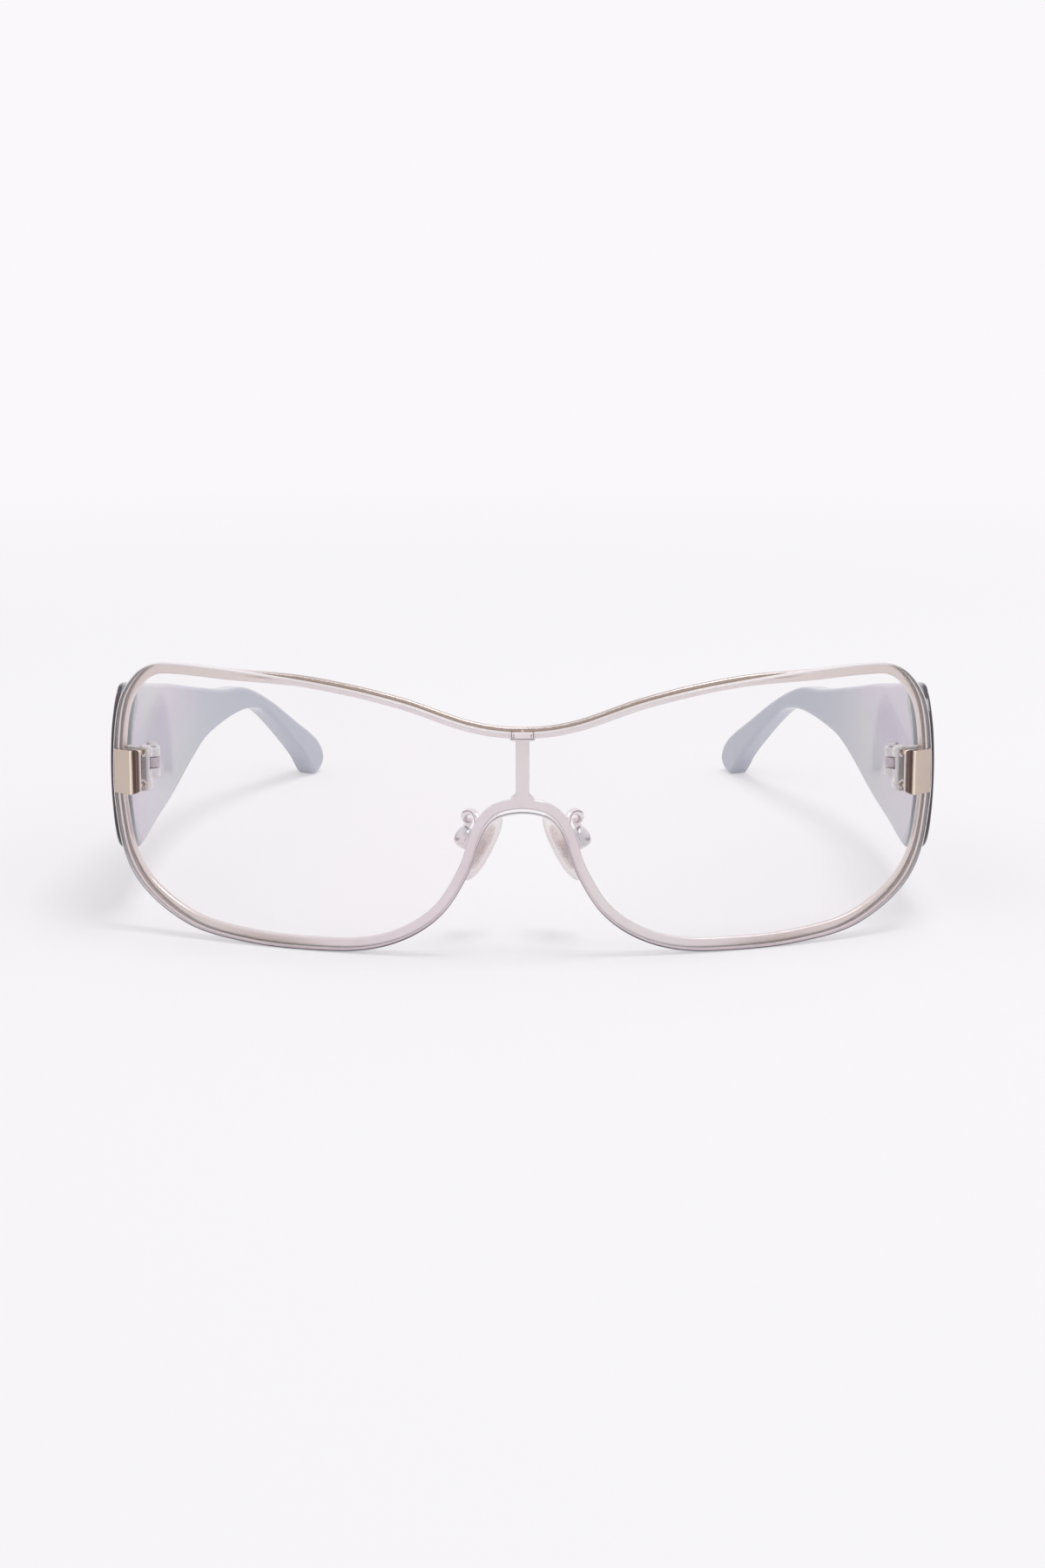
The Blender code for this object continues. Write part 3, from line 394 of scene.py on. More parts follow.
def block_shape(front):
    """End block: a wedge-shaped section carried up its height, a thin foot on the lens and two posts.

    The section's corners are arcs. The mark runs from 0 on its face to 1 at the lens, and is half at
    its ends.
    """
    centre, along, up, outward = block_axes(front)

    def upright(across, out, height):
        return centre + (across[..., None] * along + (out + GAP)[..., None] * outward
                         + (height - front.block_height / 2)[..., None] * up)

    def flat(across, height, depth):
        return centre + (across[..., None] * along + height[..., None] * up
                         + (GAP - depth)[..., None] * outward)

    shape = Shape()
    half, inner, outer = front.block_width / 2, front.block_inner, front.block_outer
    corners = np.array(((-half, 0), (half, 0), (half, outer), (-half, inner)))
    radii = (BLOCK_EDGE, BLOCK_EDGE, BLOCK_EDGE * 2, BLOCK_CORNER)
    section = np.vstack([rounded_corner(corners[k - 1], corners[k], corners[(k + 1) % 4], radii[k])[0]
                         for k in range(4)])
    surface = outer + (inner - outer) * (0.5 - section[:, 0] / front.block_width)
    profile = edge_profile(front.block_height, BLOCK_EDGE, BLOCK_EDGE)
    mark = np.broadcast_to(1 - section[:, 1] / surface, (len(profile), len(section)))
    ends = np.full((1, len(section)), 0.5)
    prism(shape, section, profile, upright, np.vstack((ends, mark, ends)))
    foot = rounded_rectangle(front.block_width + FOOT_REACH, front.block_height, FOOT_CORNER)
    foot -= (FOOT_REACH / 2, 0)
    prism(shape, foot, edge_profile(FOOT_THICKNESS, FOOT_EDGE, FOOT_EDGE), flat, kind=1)
    tail = back_of_rim(front) + PLATE_THICKNESS + POST_TAIL
    post = ((0, 0), (POST_RADIUS, 0), (POST_RADIUS, -tail + BLOCK_EDGE), (POST_RADIUS - BLOCK_EDGE, -tail),
            (0, -tail))
    for side in (-1, 1):
        place = centre - along * POST_INWARD + up * POST_SPREAD * side + outward * GAP * 2
        turned(shape, place, (along, up, outward), post, mark=0.1)
    return shape


def nut_shape(front, side):
    """A round nut on a post: a closed ring section turned about the post."""
    centre, along, up, outward = block_axes(front)
    depth = back_of_rim(front) + GAP + PLATE_THICKNESS
    place = centre - along * POST_INWARD + up * POST_SPREAD * side - outward * depth
    hole, reach, low = POST_RADIUS + GAP, NUT_RADIUS, -NUT_THICKNESS
    ring = ((hole, 0), (reach - NUT_EDGE, 0), (reach, -NUT_EDGE), (reach, low + NUT_EDGE),
            (reach - NUT_EDGE, low), (hole, low))
    shape = Shape()
    turned(shape, place, (along, up, outward), ring, closed=True)
    return shape


def eased_copy(node, name, materials):
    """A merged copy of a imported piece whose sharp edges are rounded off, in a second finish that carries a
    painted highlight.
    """
    mesh = bpy.data.meshes.new(name)
    work = bmesh.new()
    work.from_mesh(frame["nodes"][node].data)
    bmesh.ops.remove_doubles(work, verts=work.verts, dist=MERGE)
    bmesh.ops.dissolve_limit(work, angle_limit=FLAT_ANGLE, verts=work.verts, edges=work.edges)
    sharp = [edge for edge in work.edges if edge.is_manifold and edge.calc_face_angle() > EASED_ANGLE]
    for face in work.faces:
        face.material_index = 0
    bevel = bmesh.ops.bevel(work, geom=sharp, offset=HINGE_EASE, segments=2, profile=0.5, affect="EDGES",
                            clamp_overlap=True)
    for face in bevel["faces"]:
        face.material_index = 1
    work.to_mesh(mesh)
    work.free()
    return put(name, mesh, materials)


def stand(points):
    """Turn points from the glasses' own frame to where they stand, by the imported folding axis."""
    fold = next(joint for joint in frame["joints"] if joint["name"] == "right_temple_fold")
    up = np.array(fold["axis"])
    turn = np.array(((1, 0, 0), (0, up[2], -up[1]), up))
    return np.array(fold["pos_m"]) + (points - hinge_point(bpy.context.scene.sunglasses_front)) @ turn


def lens_outline(front):
    """The whole lens outline on the flat."""
    half = np.array(LENS_SHARES) * (front.half_width, front.height)
    return counter_clockwise(smooth_loop(np.vstack((half, half[1:-1][::-1] * (-1, 1)))))


def lens_shape(front):
    """The shield: two wrapped faces between its lower and upper edge, a notch at the brow, eased edges."""
    half = TAB_WIDTH / 2 + GAP
    corners = (-half - NOTCH_SLANT, -half, half, half + NOTCH_SLANT)
    low, high = sides(lens_outline(front), LENS_COLUMNS, corners)
    notch = np.abs(high[:, 0]) <= half + NOTCH_SLANT / 2
    high[notch, 1] = front.height * LENS_SHARES[0][1] - TAB_HEIGHT - GAP
    shape = Shape()
    slab(shape, low, high, edge_profile(front.thickness, LENS_EDGE, LENS_EDGE), wrapped(front), (0, 1))
    return shape


def rounded_corner(before, corner, after, radius, steps=14):
    """Arc of a radius that touches both sides of a corner, and how far it reaches along each side."""
    first = (before - corner) / np.linalg.norm(before - corner)
    second = (after - corner) / np.linalg.norm(after - corner)
    half = math.acos(float(first @ second)) / 2
    reach = radius / math.tan(half)
    middle = first + second
    centre = corner + middle / np.linalg.norm(middle) * radius / math.sin(half)
    start, end = corner + first * reach - centre, corner + second * reach - centre
    sweep = math.pi - half * 2
    share = np.linspace(0, 1, steps)[:, None]
    arc = start * np.sin(sweep * (1 - share)) + end * np.sin(sweep * share)
    return centre + arc / math.sin(sweep), reach


def eased(across, end, fade):
    """A weight of one that falls smoothly to nothing at the end, over the length of the fade."""
    return ease((end - across) / fade)


def meet_bar(end, before, bar):
    """Where a window's edge, continued straight on past its end, meets the bar's side."""
    return end + (end - before) * (end[0] - bar) / (before[0] - end[0])


def rim_paths(front):
    """Right half of the rim's outer edge, from the nose arch round to the brow, and the window inside it.

    The outer edge is the lens's outline, raised by fading weights at the brow and the arch and moved out
    at the side by a power of its distance from the middle. The window is that edge moved in by the
    band's width, closed by the bar's side with a fillet at either end.
    """
    outline = lens_outline(front)
    outline = outline + inward(outline) * RIM_MARGIN
    brow = outline[:, 1] > front.height * BROW_FOOT_SHARE
    across = np.abs(outline[:, 0])
    outline[:, 1] += (RIM_MARGIN + BROW_RISE) * eased(across, BROW_END, BROW_FADE) * brow
    outline[:, 1] += ARCH_RISE * eased(across, ARCH_END, ARCH_FADE) * ~brow
    outline[:, 0] += RIM_SIDE_REACH * np.sign(outline[:, 0]) * (across / front.half_width) ** RIM_SIDE_POWER
    outline = np.roll(outline, -int(np.argmin(np.abs(outline[:, 0]) + outline[:, 1] * brow)), axis=0)
    half = outline[outline[:, 0] >= 0]
    if half[0, 1] > half[-1, 1]:
        half = half[::-1]
    half[0, 0], half[-1, 0] = 0, 0
    half = resample(half, RIM_OUTER)
    bar = front.bar_width / 2
    inner = half + inward(half, False) * front.rim_band
    inner = inner[inner[:, 0] > bar]
    after, before = inner[SLOPE_STEP], inner[-1 - SLOPE_STEP]
    foot, top = meet_bar(inner[0], after, bar), meet_bar(inner[-1], before, bar)
    foot_arc, foot_reach = rounded_corner(top, foot, after, BAR_FOOT_FILLET)
    top_arc, top_reach = rounded_corner(before, top, foot, BAR_TOP_FILLET)
    clear = ((np.linalg.norm(inner - foot, axis=1) > foot_reach)
             & (np.linalg.norm(inner - top, axis=1) > top_reach))
    window = np.vstack((foot_arc, inner[clear], top_arc, foot_arc[:1]))
    return half, resample(window, RIM_INNER)[:-1]


def facing(loop, targets):
    """Places along a loop that face the targets: the nearest ones, made to advance steadily once round."""
    near = np.argmin(np.linalg.norm(loop[None] - targets[:, None], axis=2), axis=1) / len(loop)
    near = np.unwrap(near * math.tau) / math.tau
    steady = np.maximum.accumulate(near)
    even = steady[0] + np.arange(len(targets)) / len(targets)
    place = (steady * (1 - EVEN_SHARE) + even * EVEN_SHARE) * len(loop)
    return np.append(place, place[0] + len(loop))


def along_loop(loop, places):
    """Points of a closed loop at fractional places."""
    longer = np.vstack((loop, loop[:1]))
    return np.column_stack([np.interp(places % len(loop), np.arange(len(longer)), longer[:, k])
                            for k in range(loop.shape[1])])


def rim_strip(front):
    """Pairs of points across the rim's band, the outer edge and the bar's middle facing the window's edge.

    Gives the outer line, its inward normals, the window's edge, and which pairs are on the outer edge.
    """
    outer, window = rim_paths(front)
    normal = inward(outer, False)
    normal[0], normal[-1] = (0, 1), (0, -1)
    levels = np.linspace(outer[-1, 1], outer[0, 1], BAR_POINTS + 2)[1:-1]
    bar = np.column_stack((np.zeros(BAR_POINTS), levels))
    targets = np.vstack((outer + normal * front.rim_band, bar + (front.bar_width / 2, 0)))
    places = facing(window, targets)
    parts = np.maximum(1, np.ceil(np.diff(places) / RIM_STEP)).astype(int)
    dense = np.concatenate([k + np.arange(count) / count for k, count in enumerate(parts)])
    inner = along_loop(window, np.interp(dense, np.arange(len(places)), places))
    base = along_loop(np.vstack((outer, bar)), dense)
    return base, along_loop(np.vstack((normal, np.zeros_like(bar))), dense), inner, dense <= len(outer) - 1


def rim_shape(front):
    """The flat rim: strips from each window's edge to the outer edge and the bar's middle, edges rounded.

    The mark is how much painted brown shade it takes, standing for darker reflections and shade: the outer
    rows along the brow, the cut walls, and a bell-shaped bump in the distance from the middle at each lower
    corner.
    """
    base, normal, inner, outside = rim_strip(front)
    depth = front.thickness + GAP
    place = wrapped(front)
    profile = edge_profile(front.rim_thickness, RIM_EDGE, RIM_EDGE)
    edge = base[None] + normal[None] * profile[:, :1, None]
    inner_edge = inner[None] - inward(inner)[None] * profile[:, :1, None]
    step = lengths(profile) / lengths(profile)[-1]
    across, level = np.abs(base[:, 0]), base[:, 1] / front.height
    # painted brown shade: the brow's outer rows, the walls, and a bump at each lower corner
    brow = eased(across, BROW_END, BROW_FADE) * (level > BROW_FOOT_SHARE) * outside
    corner = (np.exp(-((across - CORNER_AT) / CORNER_WIDTH) ** 2)
              * np.clip((CORNER_TOP - level) / CORNER_FADE, 0, 1))
    share = np.array(BAND_ROWS)[:, None]
    brown = (np.clip((share - SHADE_ROW) / SHADE_ROW_FADE, 0, 1) * brow
             + (share * CORNER_SHADE_SLOPE + CORNER_SHADE) * corner)
    wall_shade_mark = WALL_SHADE + (1 - WALL_SHADE) * brow[outside]
    shape = Shape()
    for side in (1, -1):
        mirror = np.array((side, 1))
        for path, closed, mark in ((edge[:, outside], False, wall_shade_mark), (inner_edge, True, WINDOW_SHADE)):
            wall = np.sin(step * math.pi)[:, None] * mark
            shape.lay(place, path * mirror, profile[:, 1:2] + depth, round_v=closed, mark=wall)
        for row in (0, -1):
            flat = inner_edge[row][None] * (1 - share[..., None]) + edge[row][None] * share[..., None]
            shape.lay(place, flat * mirror, profile[row, 1] + depth, round_v=True, mark=brown)
    add_tab(shape, front)
    return shape


def add_tab(shape, front):
    """The tab in the lens's notch: a rectangle carried back to the rim, its front edges eased."""
    top = front.height * LENS_SHARES[0][1]
    half, foot = TAB_WIDTH / 2 + GAP * TAB_FILL, top - TAB_HEIGHT - GAP * TAB_FILL
    section = np.array(((-half, foot), (half, foot), (half, top), (-half, top), (-half, foot)))
    outline = resample(section, TAB_POINTS + 1)[:-1]
    middle, back = (TAB_HEIGHT + GAP * TAB_FILL) / 2, front.thickness + GAP + front.rim_thickness / 2
    profile = np.array((
        (middle, TAB_RECESS), (RIM_EDGE, TAB_RECESS), (RIM_EDGE / 4, TAB_RECESS + RIM_EDGE / 4),
        (0, TAB_RECESS + RIM_EDGE), (0, back), (middle, back)))
    ring = outline[None] + inward(outline)[None] * profile[:, :1, None]
    shape.lay(wrapped(front), ring, profile[:, 1:2], round_v=True)


def temple_place(front, temple):
    """Bends a flat temple: the toe angle eases from start to end, and the path sums it up."""
    hinge = hinge_point(front)
    start = hinge[:2] + (TEMPLE_GAP, -TEMPLE_SETBACK - BARREL_RADIUS * 2)
    fine = np.linspace(0, temple.length, TEMPLE_STEPS)
    toe = TOE_START + (TOE_END - TOE_START) * ease((fine - TOE_BEGIN) / (TOE_FINISH - TOE_BEGIN))
    step = np.diff(fine, prepend=fine[0])
    x = start[0] - np.cumsum(np.sin(toe) * step)
    y = start[1] + np.cumsum(np.cos(toe) * step)

    def place(distance, level, depth):
        turn = np.interp(distance, fine, toe)
        across = np.interp(distance, fine, x) + depth * np.cos(turn)
        along = np.interp(distance, fine, y) + depth * np.sin(turn)
        return np.stack((across, along, level + depth * 0), axis=-1)
    return place


def temple_shape(front, temple):
    """A laminated temple: ruled faces between its lower and upper edge, and a rounded section round them."""
    outline = counter_clockwise(smooth_loop(np.array(TEMPLE_SHARES) * (temple.length, temple.top)))
    low, high = sides(outline, TEMPLE_COLUMNS)
    shape = Shape()
    profile = edge_profile(temple.thickness, temple.edge, temple.outer_edge, 8)
    slab(shape, low, high, profile, temple_place(front, temple))
    ring = np.broadcast_to(profile[:, 1:2] / temple.thickness, (len(profile), len(low) * 2 - 2)).ravel()
    face = len(FACE_ROWS) * len(low)
    shape.marks = [ring, np.zeros(face), np.ones(face)]
    return shape


def pad_axes():
    """Centre of the pad's pin, and the directions across, along and away from the nose."""
    away = -PAD_FACING / np.linalg.norm(PAD_FACING)
    along = PAD_UPWARD - away * (PAD_UPWARD @ away)
    along /= np.linalg.norm(along)
    across = np.cross(along, away)
    return np.array((PAD_OUT, PAD_BACK, PAD_LEVEL)) + away * PAD_STANDOFF, across, along, away


def pad_shape(pads):
    """A soft pad: its outline shrinks over a rounded rim to a slightly crowned face on each side."""
    outline = smooth_loop(np.array(PAD_SHARES) * (pads.width / 2, pads.length / 2), 12)
    turn = np.linspace(-math.pi / 2, math.pi / 2, 25)[:, None]
    reach = np.sign(np.cos(turn)) * np.abs(np.cos(turn)) ** PAD_ROUNDNESS
    height = np.sin(turn) * np.abs(np.sin(turn)) ** PAD_FLATNESS * pads.thickness / 2
    centre, across, along, away = pad_axes()
    grid = (centre - away * PAD_STANDOFF + outline[None, :, :1] * reach[..., None] * across
            + outline[None, :, 1:] * reach[..., None] * along + height[..., None] * away)
    shape = Shape()
    shape.add(grid, round_v=True)
    return shape


def box_shape():
    """The round pad box: a domed cup turned about the pad's outward axis, hollow on the pad's side."""
    centre, across, along, away = pad_axes()
    turn = np.linspace(0, math.pi / 2, 10)
    dome = np.column_stack((BOX_RADIUS - BOX_DOME + BOX_DOME * np.sin(turn),
                            BOX_HIGH - BOX_DOME + BOX_DOME * np.cos(turn)))
    cup = ((BOX_RADIUS, BOX_LOW + BOX_EDGE), (BOX_RADIUS - BOX_EDGE, BOX_LOW), (BOX_HOLLOW, BOX_LOW),
           (BOX_HOLLOW, BOX_FLOOR), (0, BOX_FLOOR))
    profile = np.vstack(((0, BOX_HIGH), dome, cup))
    shape = Shape()
    turned(shape, centre, (across, along, away), profile)
    return shape


def tube(shape, route, radius, aside, steps=20):
    """A round wire: a circle square to the route at each point, drawn in to a point at both ends."""
    ahead = np.gradient(route, axis=0)
    ahead /= np.linalg.norm(ahead, axis=1)[:, None]
    first = np.cross(ahead, aside)
    first /= np.linalg.norm(first, axis=1)[:, None]
    second = np.cross(ahead, first)
    turn = np.arange(steps) * math.tau / steps
    circle = first[:, None] * np.cos(turn)[None, :, None] + second[:, None] * np.sin(turn)[None, :, None]
    grid = route[:, None] + circle * radius
    cap = np.linspace(1, 0, 4)[:, None, None]
    head = route[0] + (grid[0] - route[0]) * cap[::-1]
    tail = route[-1] + (grid[-1] - route[-1]) * cap
    shape.add(np.concatenate((head[:-1], grid, tail[1:])), round_v=True)


def arm_shape(front):
    """The looped wire from the rim's back to the upper side of the pad box.

    Its route is the straight way plus shares of a side step and of a rise, averaged with its neighbours.
    """
    centre, across, along, away = pad_axes()
    seat = centre + away * (BOX_HIGH - ARM_RADIUS)
    end = seat + along * (BOX_RADIUS - ARM_SINK)
    approach = seat + along * (BOX_RADIUS + GAP + ARM_STANDOFF)
    arc = math.asin(ARM_FOOT_OUT / front.wrap) * front.wrap
    foot = front_point(front, arc, ARM_FOOT_LEVEL, back_of_rim(front) + ARM_RADIUS)
    share = np.array(ARM_SHARES)
    route = foot + (approach - foot) * share[:, :1] + np.outer(share[:, 1], (ARM_LOOP_SIDE, 0, 0))
    route += np.outer(share[:, 2], (0, 0, ARM_LOOP_RISE))
    route = smooth_line(np.vstack((route, end)), 10)
    for _ in range(ARM_PASSES):
        route[1:-1] = (route[:-2] + route[2:]) / 2
    shape = Shape()
    tube(shape, route, ARM_RADIUS, ARM_ASIDE)
    return shape


# Materials

# Where the front's finishes change, each from its start to its full strength: distances aside, and levels
ARCH_ASIDE, ARCH_LEVEL = (0.007, 0.013), (0.0205, 0.0225)
LOW_ASIDE, LOW_LEVEL, LOW_DROP = (0.015, 0.04), (0.021, 0.026), 0.010
BROW_ASIDE, BROW_LEVEL = (0.060, 0.068), (0.030, 0.034)
NOSE_ASIDE, TAB_ASIDE, SIDE_SHADE_ASIDE = (0.012, 0.02), (0.0019, 0.0021), (0.02, 0.07)

# Where the temples' finishes change: places along, levels, and the curve of the painted slate shade at the
# front end
REAR_ALONG, INSIDE_ALONG, DEEP_LEVEL = (-0.02, 0.03), (-0.042, -0.026), (0.006, 0.026)
SLATE_START, SLATE_LEVEL, SLATE_CURVE, SLATE_MOST, SLATE_SOFT = -0.0469, 0.025, 60, 0.0094, 0.0003
LAYER_SOFT, LAYER_THINS = 0.02, 0.8

# Shares of rose at the nose and of deep lilac near the table
NOSE_SHARE, DEEP_SHARE = 0.5, 0.75

# Where along the mark the painted light changes: the lens's edge lines, the rim's brown shade, the slate
# shade, and the block's highlight and wall shade
PLAIN_MARK, RIM_SHADE_MARK, SLATE_MARK = (0.36, 0.46), (0.12, 0.6), (0.01, 0.05)
BLOCK_HIGHLIGHT, BLOCK_WALL_SHADE = ((0.03, 0.09), (0.2, 0.28)), ((0.36, 0.46), (0.93, 0.99))

# Noises: how many to a metre, between which of their values a colour changes, and depths of bumps
DRIFT, CLOUD, RIM_CLOUD, BLOCK_CLOUD, TABLE_CLOUD = 14, 220, 90, 160, 3
SLOW, WIDE, STREAKS, GRAIN, HAZE, SKIN, FOLDS = 42, 30, 260, 900, 300, 2200, 2600
SLOW_STRETCH, WIDE_STRETCH = (1.0, 0.28, 1.0), (1.0, 0.3, 0.9)
DRIFT_STEP, CLOUD_STEP, RIM_CLOUD_STEP, BLOCK_CLOUD_STEP = (0.35, 0.65), (0.25, 0.6), (0.25, 0.65), (0.2, 0.6)
BLUE_STEP, GREY_STEP, BROWN_STEP = (0.50, 0.70), (0.50, 0.66), (0.52, 0.75)
HAZE_STEP, FOLD_STEP = (0.3, 0.7), (0.33, 0.41)
GRAIN_DEPTH, SKIN_DEPTH, FOLD_DEPTH = 0.000003, 0.000006, 0.00002


class Value:
    """One output of a shader's node, so that sums of sockets read as sums."""

    def __init__(self, build, socket):
        self.build, self.socket = build, socket

    def __add__(self, other):
        return self.build.math("ADD", self, other)

    def __sub__(self, other):
        return self.build.math("SUBTRACT", self, other)

    def __rsub__(self, other):
        return self.build.math("SUBTRACT", other, self)

    def __mul__(self, other):
        return self.build.math("MULTIPLY", self, other)

    __radd__ = __add__
    __rmul__ = __mul__


class Finish:
    """A new material, built node by node round one Principled shader."""

    def __init__(self, name, **constants):
        self.material = bpy.data.materials.new(name)
        self.material.use_nodes = True
        self.tree = self.material.node_tree
        self.shader = self.tree.nodes.get("Principled BSDF")
        for key, value in constants.items():
            self.shader.inputs[key.replace("_", " ").title().replace("Ior", "IOR")].default_value = value

    def node(self, kind, settings=None, values=(), output=0):
        """One output of a node whose settings are made first and whose sockets are then filled."""
        node = self.tree.nodes.new(kind)
        for key, value in (settings or {}).items():
            if key == "stops":
                ramp = node.color_ramp
                for place, colour in value[1:-1]:
                    ramp.elements.new(place).color = (*colour, 1)
                for element, (place, colour) in zip((ramp.elements[0], ramp.elements[-1]),
                                                    (value[0], value[-1])):
                    element.position, element.color = place, (*colour, 1)
            else:
                setattr(node, key, value)
        pairs = values.items() if isinstance(values, dict) else enumerate(values)
        for key, value in pairs:
            if isinstance(value, Value):
                self.tree.links.new(value.socket, node.inputs[key])
            else:
                node.inputs[key].default_value = value
        return Value(self, node.outputs[output])

    def math(self, operation, *values):
        """A Math node."""
        return self.node("ShaderNodeMath", {"operation": operation}, values)

    def seen(self):
        """1 for what the camera sees directly, in a reflection or through something clear."""
        camera, glossy, clear = (self.node("ShaderNodeLightPath", output=name)
                                 for name in ("Is Camera Ray", "Is Glossy Ray", "Is Transmission Ray"))
        return self.math("MAXIMUM", self.math("MAXIMUM", camera, glossy), clear)

    def place(self):
        """Object coordinates."""
        return self.node("ShaderNodeTexCoord", output="Object")

    def part(self, axis):
        """One of the Object coordinates."""
        return self.node("ShaderNodeSeparateXYZ", None, (self.place(),), axis)

    def spot(self):
        """Distance from the middle plane, and level."""
        return self.math("ABSOLUTE", self.part("X")), self.part("Z")

    def noise(self, scale, detail=2.0, rough=0.5, warp=0.0, stretch=None):
        """Soft noise on Object coordinates, from 0 to 1."""
        where = self.place()
        if stretch:
            where = self.node("ShaderNodeMapping", None, {"Vector": where, "Scale": stretch})
        return self.node("ShaderNodeTexNoise", None, {
            "Vector": where, "Scale": scale, "Detail": detail, "Roughness": rough, "Distortion": warp})

    def mark(self):
        """The piece's own mark: how far round its edge, or through its thickness."""
        return self.node("ShaderNodeAttribute", {"attribute_name": "mark"}, output="Fac")

    def between(self, value, low, high):
        """0 below the low value and 1 above the high one, with a smooth step between."""
        return self.node("ShaderNodeMapRange", {"interpolation_type": "SMOOTHSTEP"}, {
            "Value": value, "From Min": low, "From Max": high})

    def band(self, value, rise, fall):
        """1 between two smooth steps, up over the first pair of values and down over the second."""
        return self.between(value, *rise) - self.between(value, *fall)

    def mix(self, first, second, factor):
        """A blend of two colours."""
        first = first if isinstance(first, Value) else (*first, 1)
        second = second if isinstance(second, Value) else (*second, 1)
        return self.node("ShaderNodeMix", {"data_type": "RGBA"}, {0: factor, 6: first, 7: second}, 2)

    def ramp(self, value, stops):
        """A colour looked up along stops."""
        return self.node("ShaderNodeValToRGB", {"stops": stops}, {"Fac": value})

    def set(self, **inputs):
        """Links results to the shader's sockets."""
        for key, value in inputs.items():
            self.tree.links.new(value.socket, self.shader.inputs[key.replace("_", " ").title()])
        return self.material

    def lit(self):
        """What the Principled shader gives."""
        return Value(self, self.shader.outputs["BSDF"])

    def surface(self, shader):
        """Links a shader to the material's output."""
        self.tree.links.new(shader.socket, self.tree.nodes["Material Output"].inputs["Surface"])
        return self.material

    def bump(self, height, depth, strength):
        """A Bump node of a real depth in metres."""
        return self.node("ShaderNodeBump", None, {
            "Height": height, "Distance": depth, "Strength": strength}, "Normal")


class Sky(Finish):
    """The world's shader, built in the same way."""

    def __init__(self, world):
        world.use_nodes = True
        self.tree = world.node_tree


def clear_pane(front):
    """The lens's faces: clear and refracting, a coating that drifts from rose to cream, no dark shadow."""
    finish = Finish("clear_pane", roughness=0.0, ior=1.5, transmission_weight=1.0)
    aside, level = finish.spot()
    arch = (1 - finish.between(aside, *ARCH_ASIDE)) * (1 - finish.between(level, *ARCH_LEVEL))
    drift = finish.between(finish.noise(DRIFT, 1), *DRIFT_STEP)
    coating = finish.mix(front.coating_rose, front.coating_cream, drift)
    finish.set(base_color=finish.mix(coating, front.coating_arch, arch))
    shadow = finish.node("ShaderNodeLightPath", output="Is Shadow Ray")
    through = finish.node("ShaderNodeBsdfTransparent", None, ((*front.coating_cream, 1),), "BSDF")
    blend = finish.node("ShaderNodeMixShader", None, (shadow, finish.lit(), through), "Shader")
    return finish.surface(blend)


def painted_edge_lines(front):
    """The lens's polished edge, with fine lines through its thickness painted as its reflections.

    A painted dark line of shade comes first where the edge faces down, and a painted white highlight where it
    faces aside. At the brow the rim's colour is painted on, as the rim seen through the glass, and then the
    white, without the white beside the tab.
    """
    finish = Finish("painted_edge_lines", roughness=0.15, ior=1.5)
    through = finish.mark()
    # painted white highlight and painted dark line of shade through the edge's thickness
    side = finish.ramp(through, (
        (0.0, front.edge_highlight), (0.40, front.edge_highlight), (0.48, front.edge_dark), (0.56, front.edge_dark),
        (0.66, front.edge_grey), (1.0, front.edge_grey)))
    below = finish.ramp(through, (
        (0.0, front.edge_dark), (0.14, front.edge_dark), (0.24, front.edge_highlight), (0.56, front.edge_highlight),
        (0.66, front.edge_grey), (0.80, front.edge_grey), (0.90, front.edge_rose), (1.0, front.edge_rose)))
    aside, level = finish.spot()
    low = 1 - finish.between(level + finish.between(aside, *LOW_ASIDE) * LOW_DROP, *LOW_LEVEL)
    brow = (1 - finish.between(aside, *BROW_ASIDE)) * finish.between(level, *BROW_LEVEL)
    nose = 1 - finish.between(aside, *NOSE_ASIDE)
    below = finish.mix(below, front.edge_rose, nose * NOSE_SHARE)
    plain = finish.between(through, *PLAIN_MARK) * finish.between(aside, *TAB_ASIDE)
    above = finish.mix(front.rim_dark, front.edge_highlight, plain)
    return finish.set(base_color=finish.mix(finish.mix(side, below, low), above, brow))


def bright_metal(name, colour, dark, roughness=0.2, metallic=1.0):
    """Polished metal with slow clouds in its colour and its polish."""
    finish = Finish(name, metallic=metallic)
    cloud = finish.noise(CLOUD)
    tone = finish.mix(dark, colour, finish.between(cloud, *CLOUD_STEP))
    normal = finish.bump(finish.noise(GRAIN), GRAIN_DEPTH, 0.3)
    return finish.set(base_color=tone, roughness=cloud * 0.1 + (roughness - 0.05), normal=normal)


def rim_metal(front):
    """The rim's champagne metal: a smooth face with slow clouds, painted darker and warmer shade aside, and
    painted gold-brown shade on its cut edges.
    """
    finish = Finish("rim_metal", metallic=1.0)
    cloud = finish.noise(RIM_CLOUD)
    face = finish.mix(front.rim_dark, front.rim_colour, finish.between(cloud, *RIM_CLOUD_STEP))
    # painted shade: darker and warmer aside, then painted gold-brown shade on the cut edges
    face = finish.mix(face, front.rim_side_shade, finish.between(finish.spot()[0], *SIDE_SHADE_ASIDE))
    tone = finish.mix(face, front.rim_edge_shade, finish.between(finish.mark(), *RIM_SHADE_MARK))
    return finish.set(base_color=tone, roughness=cloud * 0.1 + 0.2)


def block_metal(front):
    """The end block: champagne face, a painted highlight round its front edge and painted dark brown shade on
    its side walls.
    """
    finish = Finish("block_metal", metallic=1.0)
    cloud = finish.noise(BLOCK_CLOUD)
    face = finish.mix(front.block_dark, front.block_colour, finish.between(cloud, *BLOCK_CLOUD_STEP))
    back = finish.mark()
    # painted highlight round the front edge, then painted shade on the side walls
    tone = finish.mix(face, front.block_highlight, finish.band(back, *BLOCK_HIGHLIGHT))
    tone = finish.mix(tone, front.block_wall_shade, finish.band(back, *BLOCK_WALL_SHADE))
    return finish.set(base_color=tone, roughness=cloud * 0.08 + 0.18)


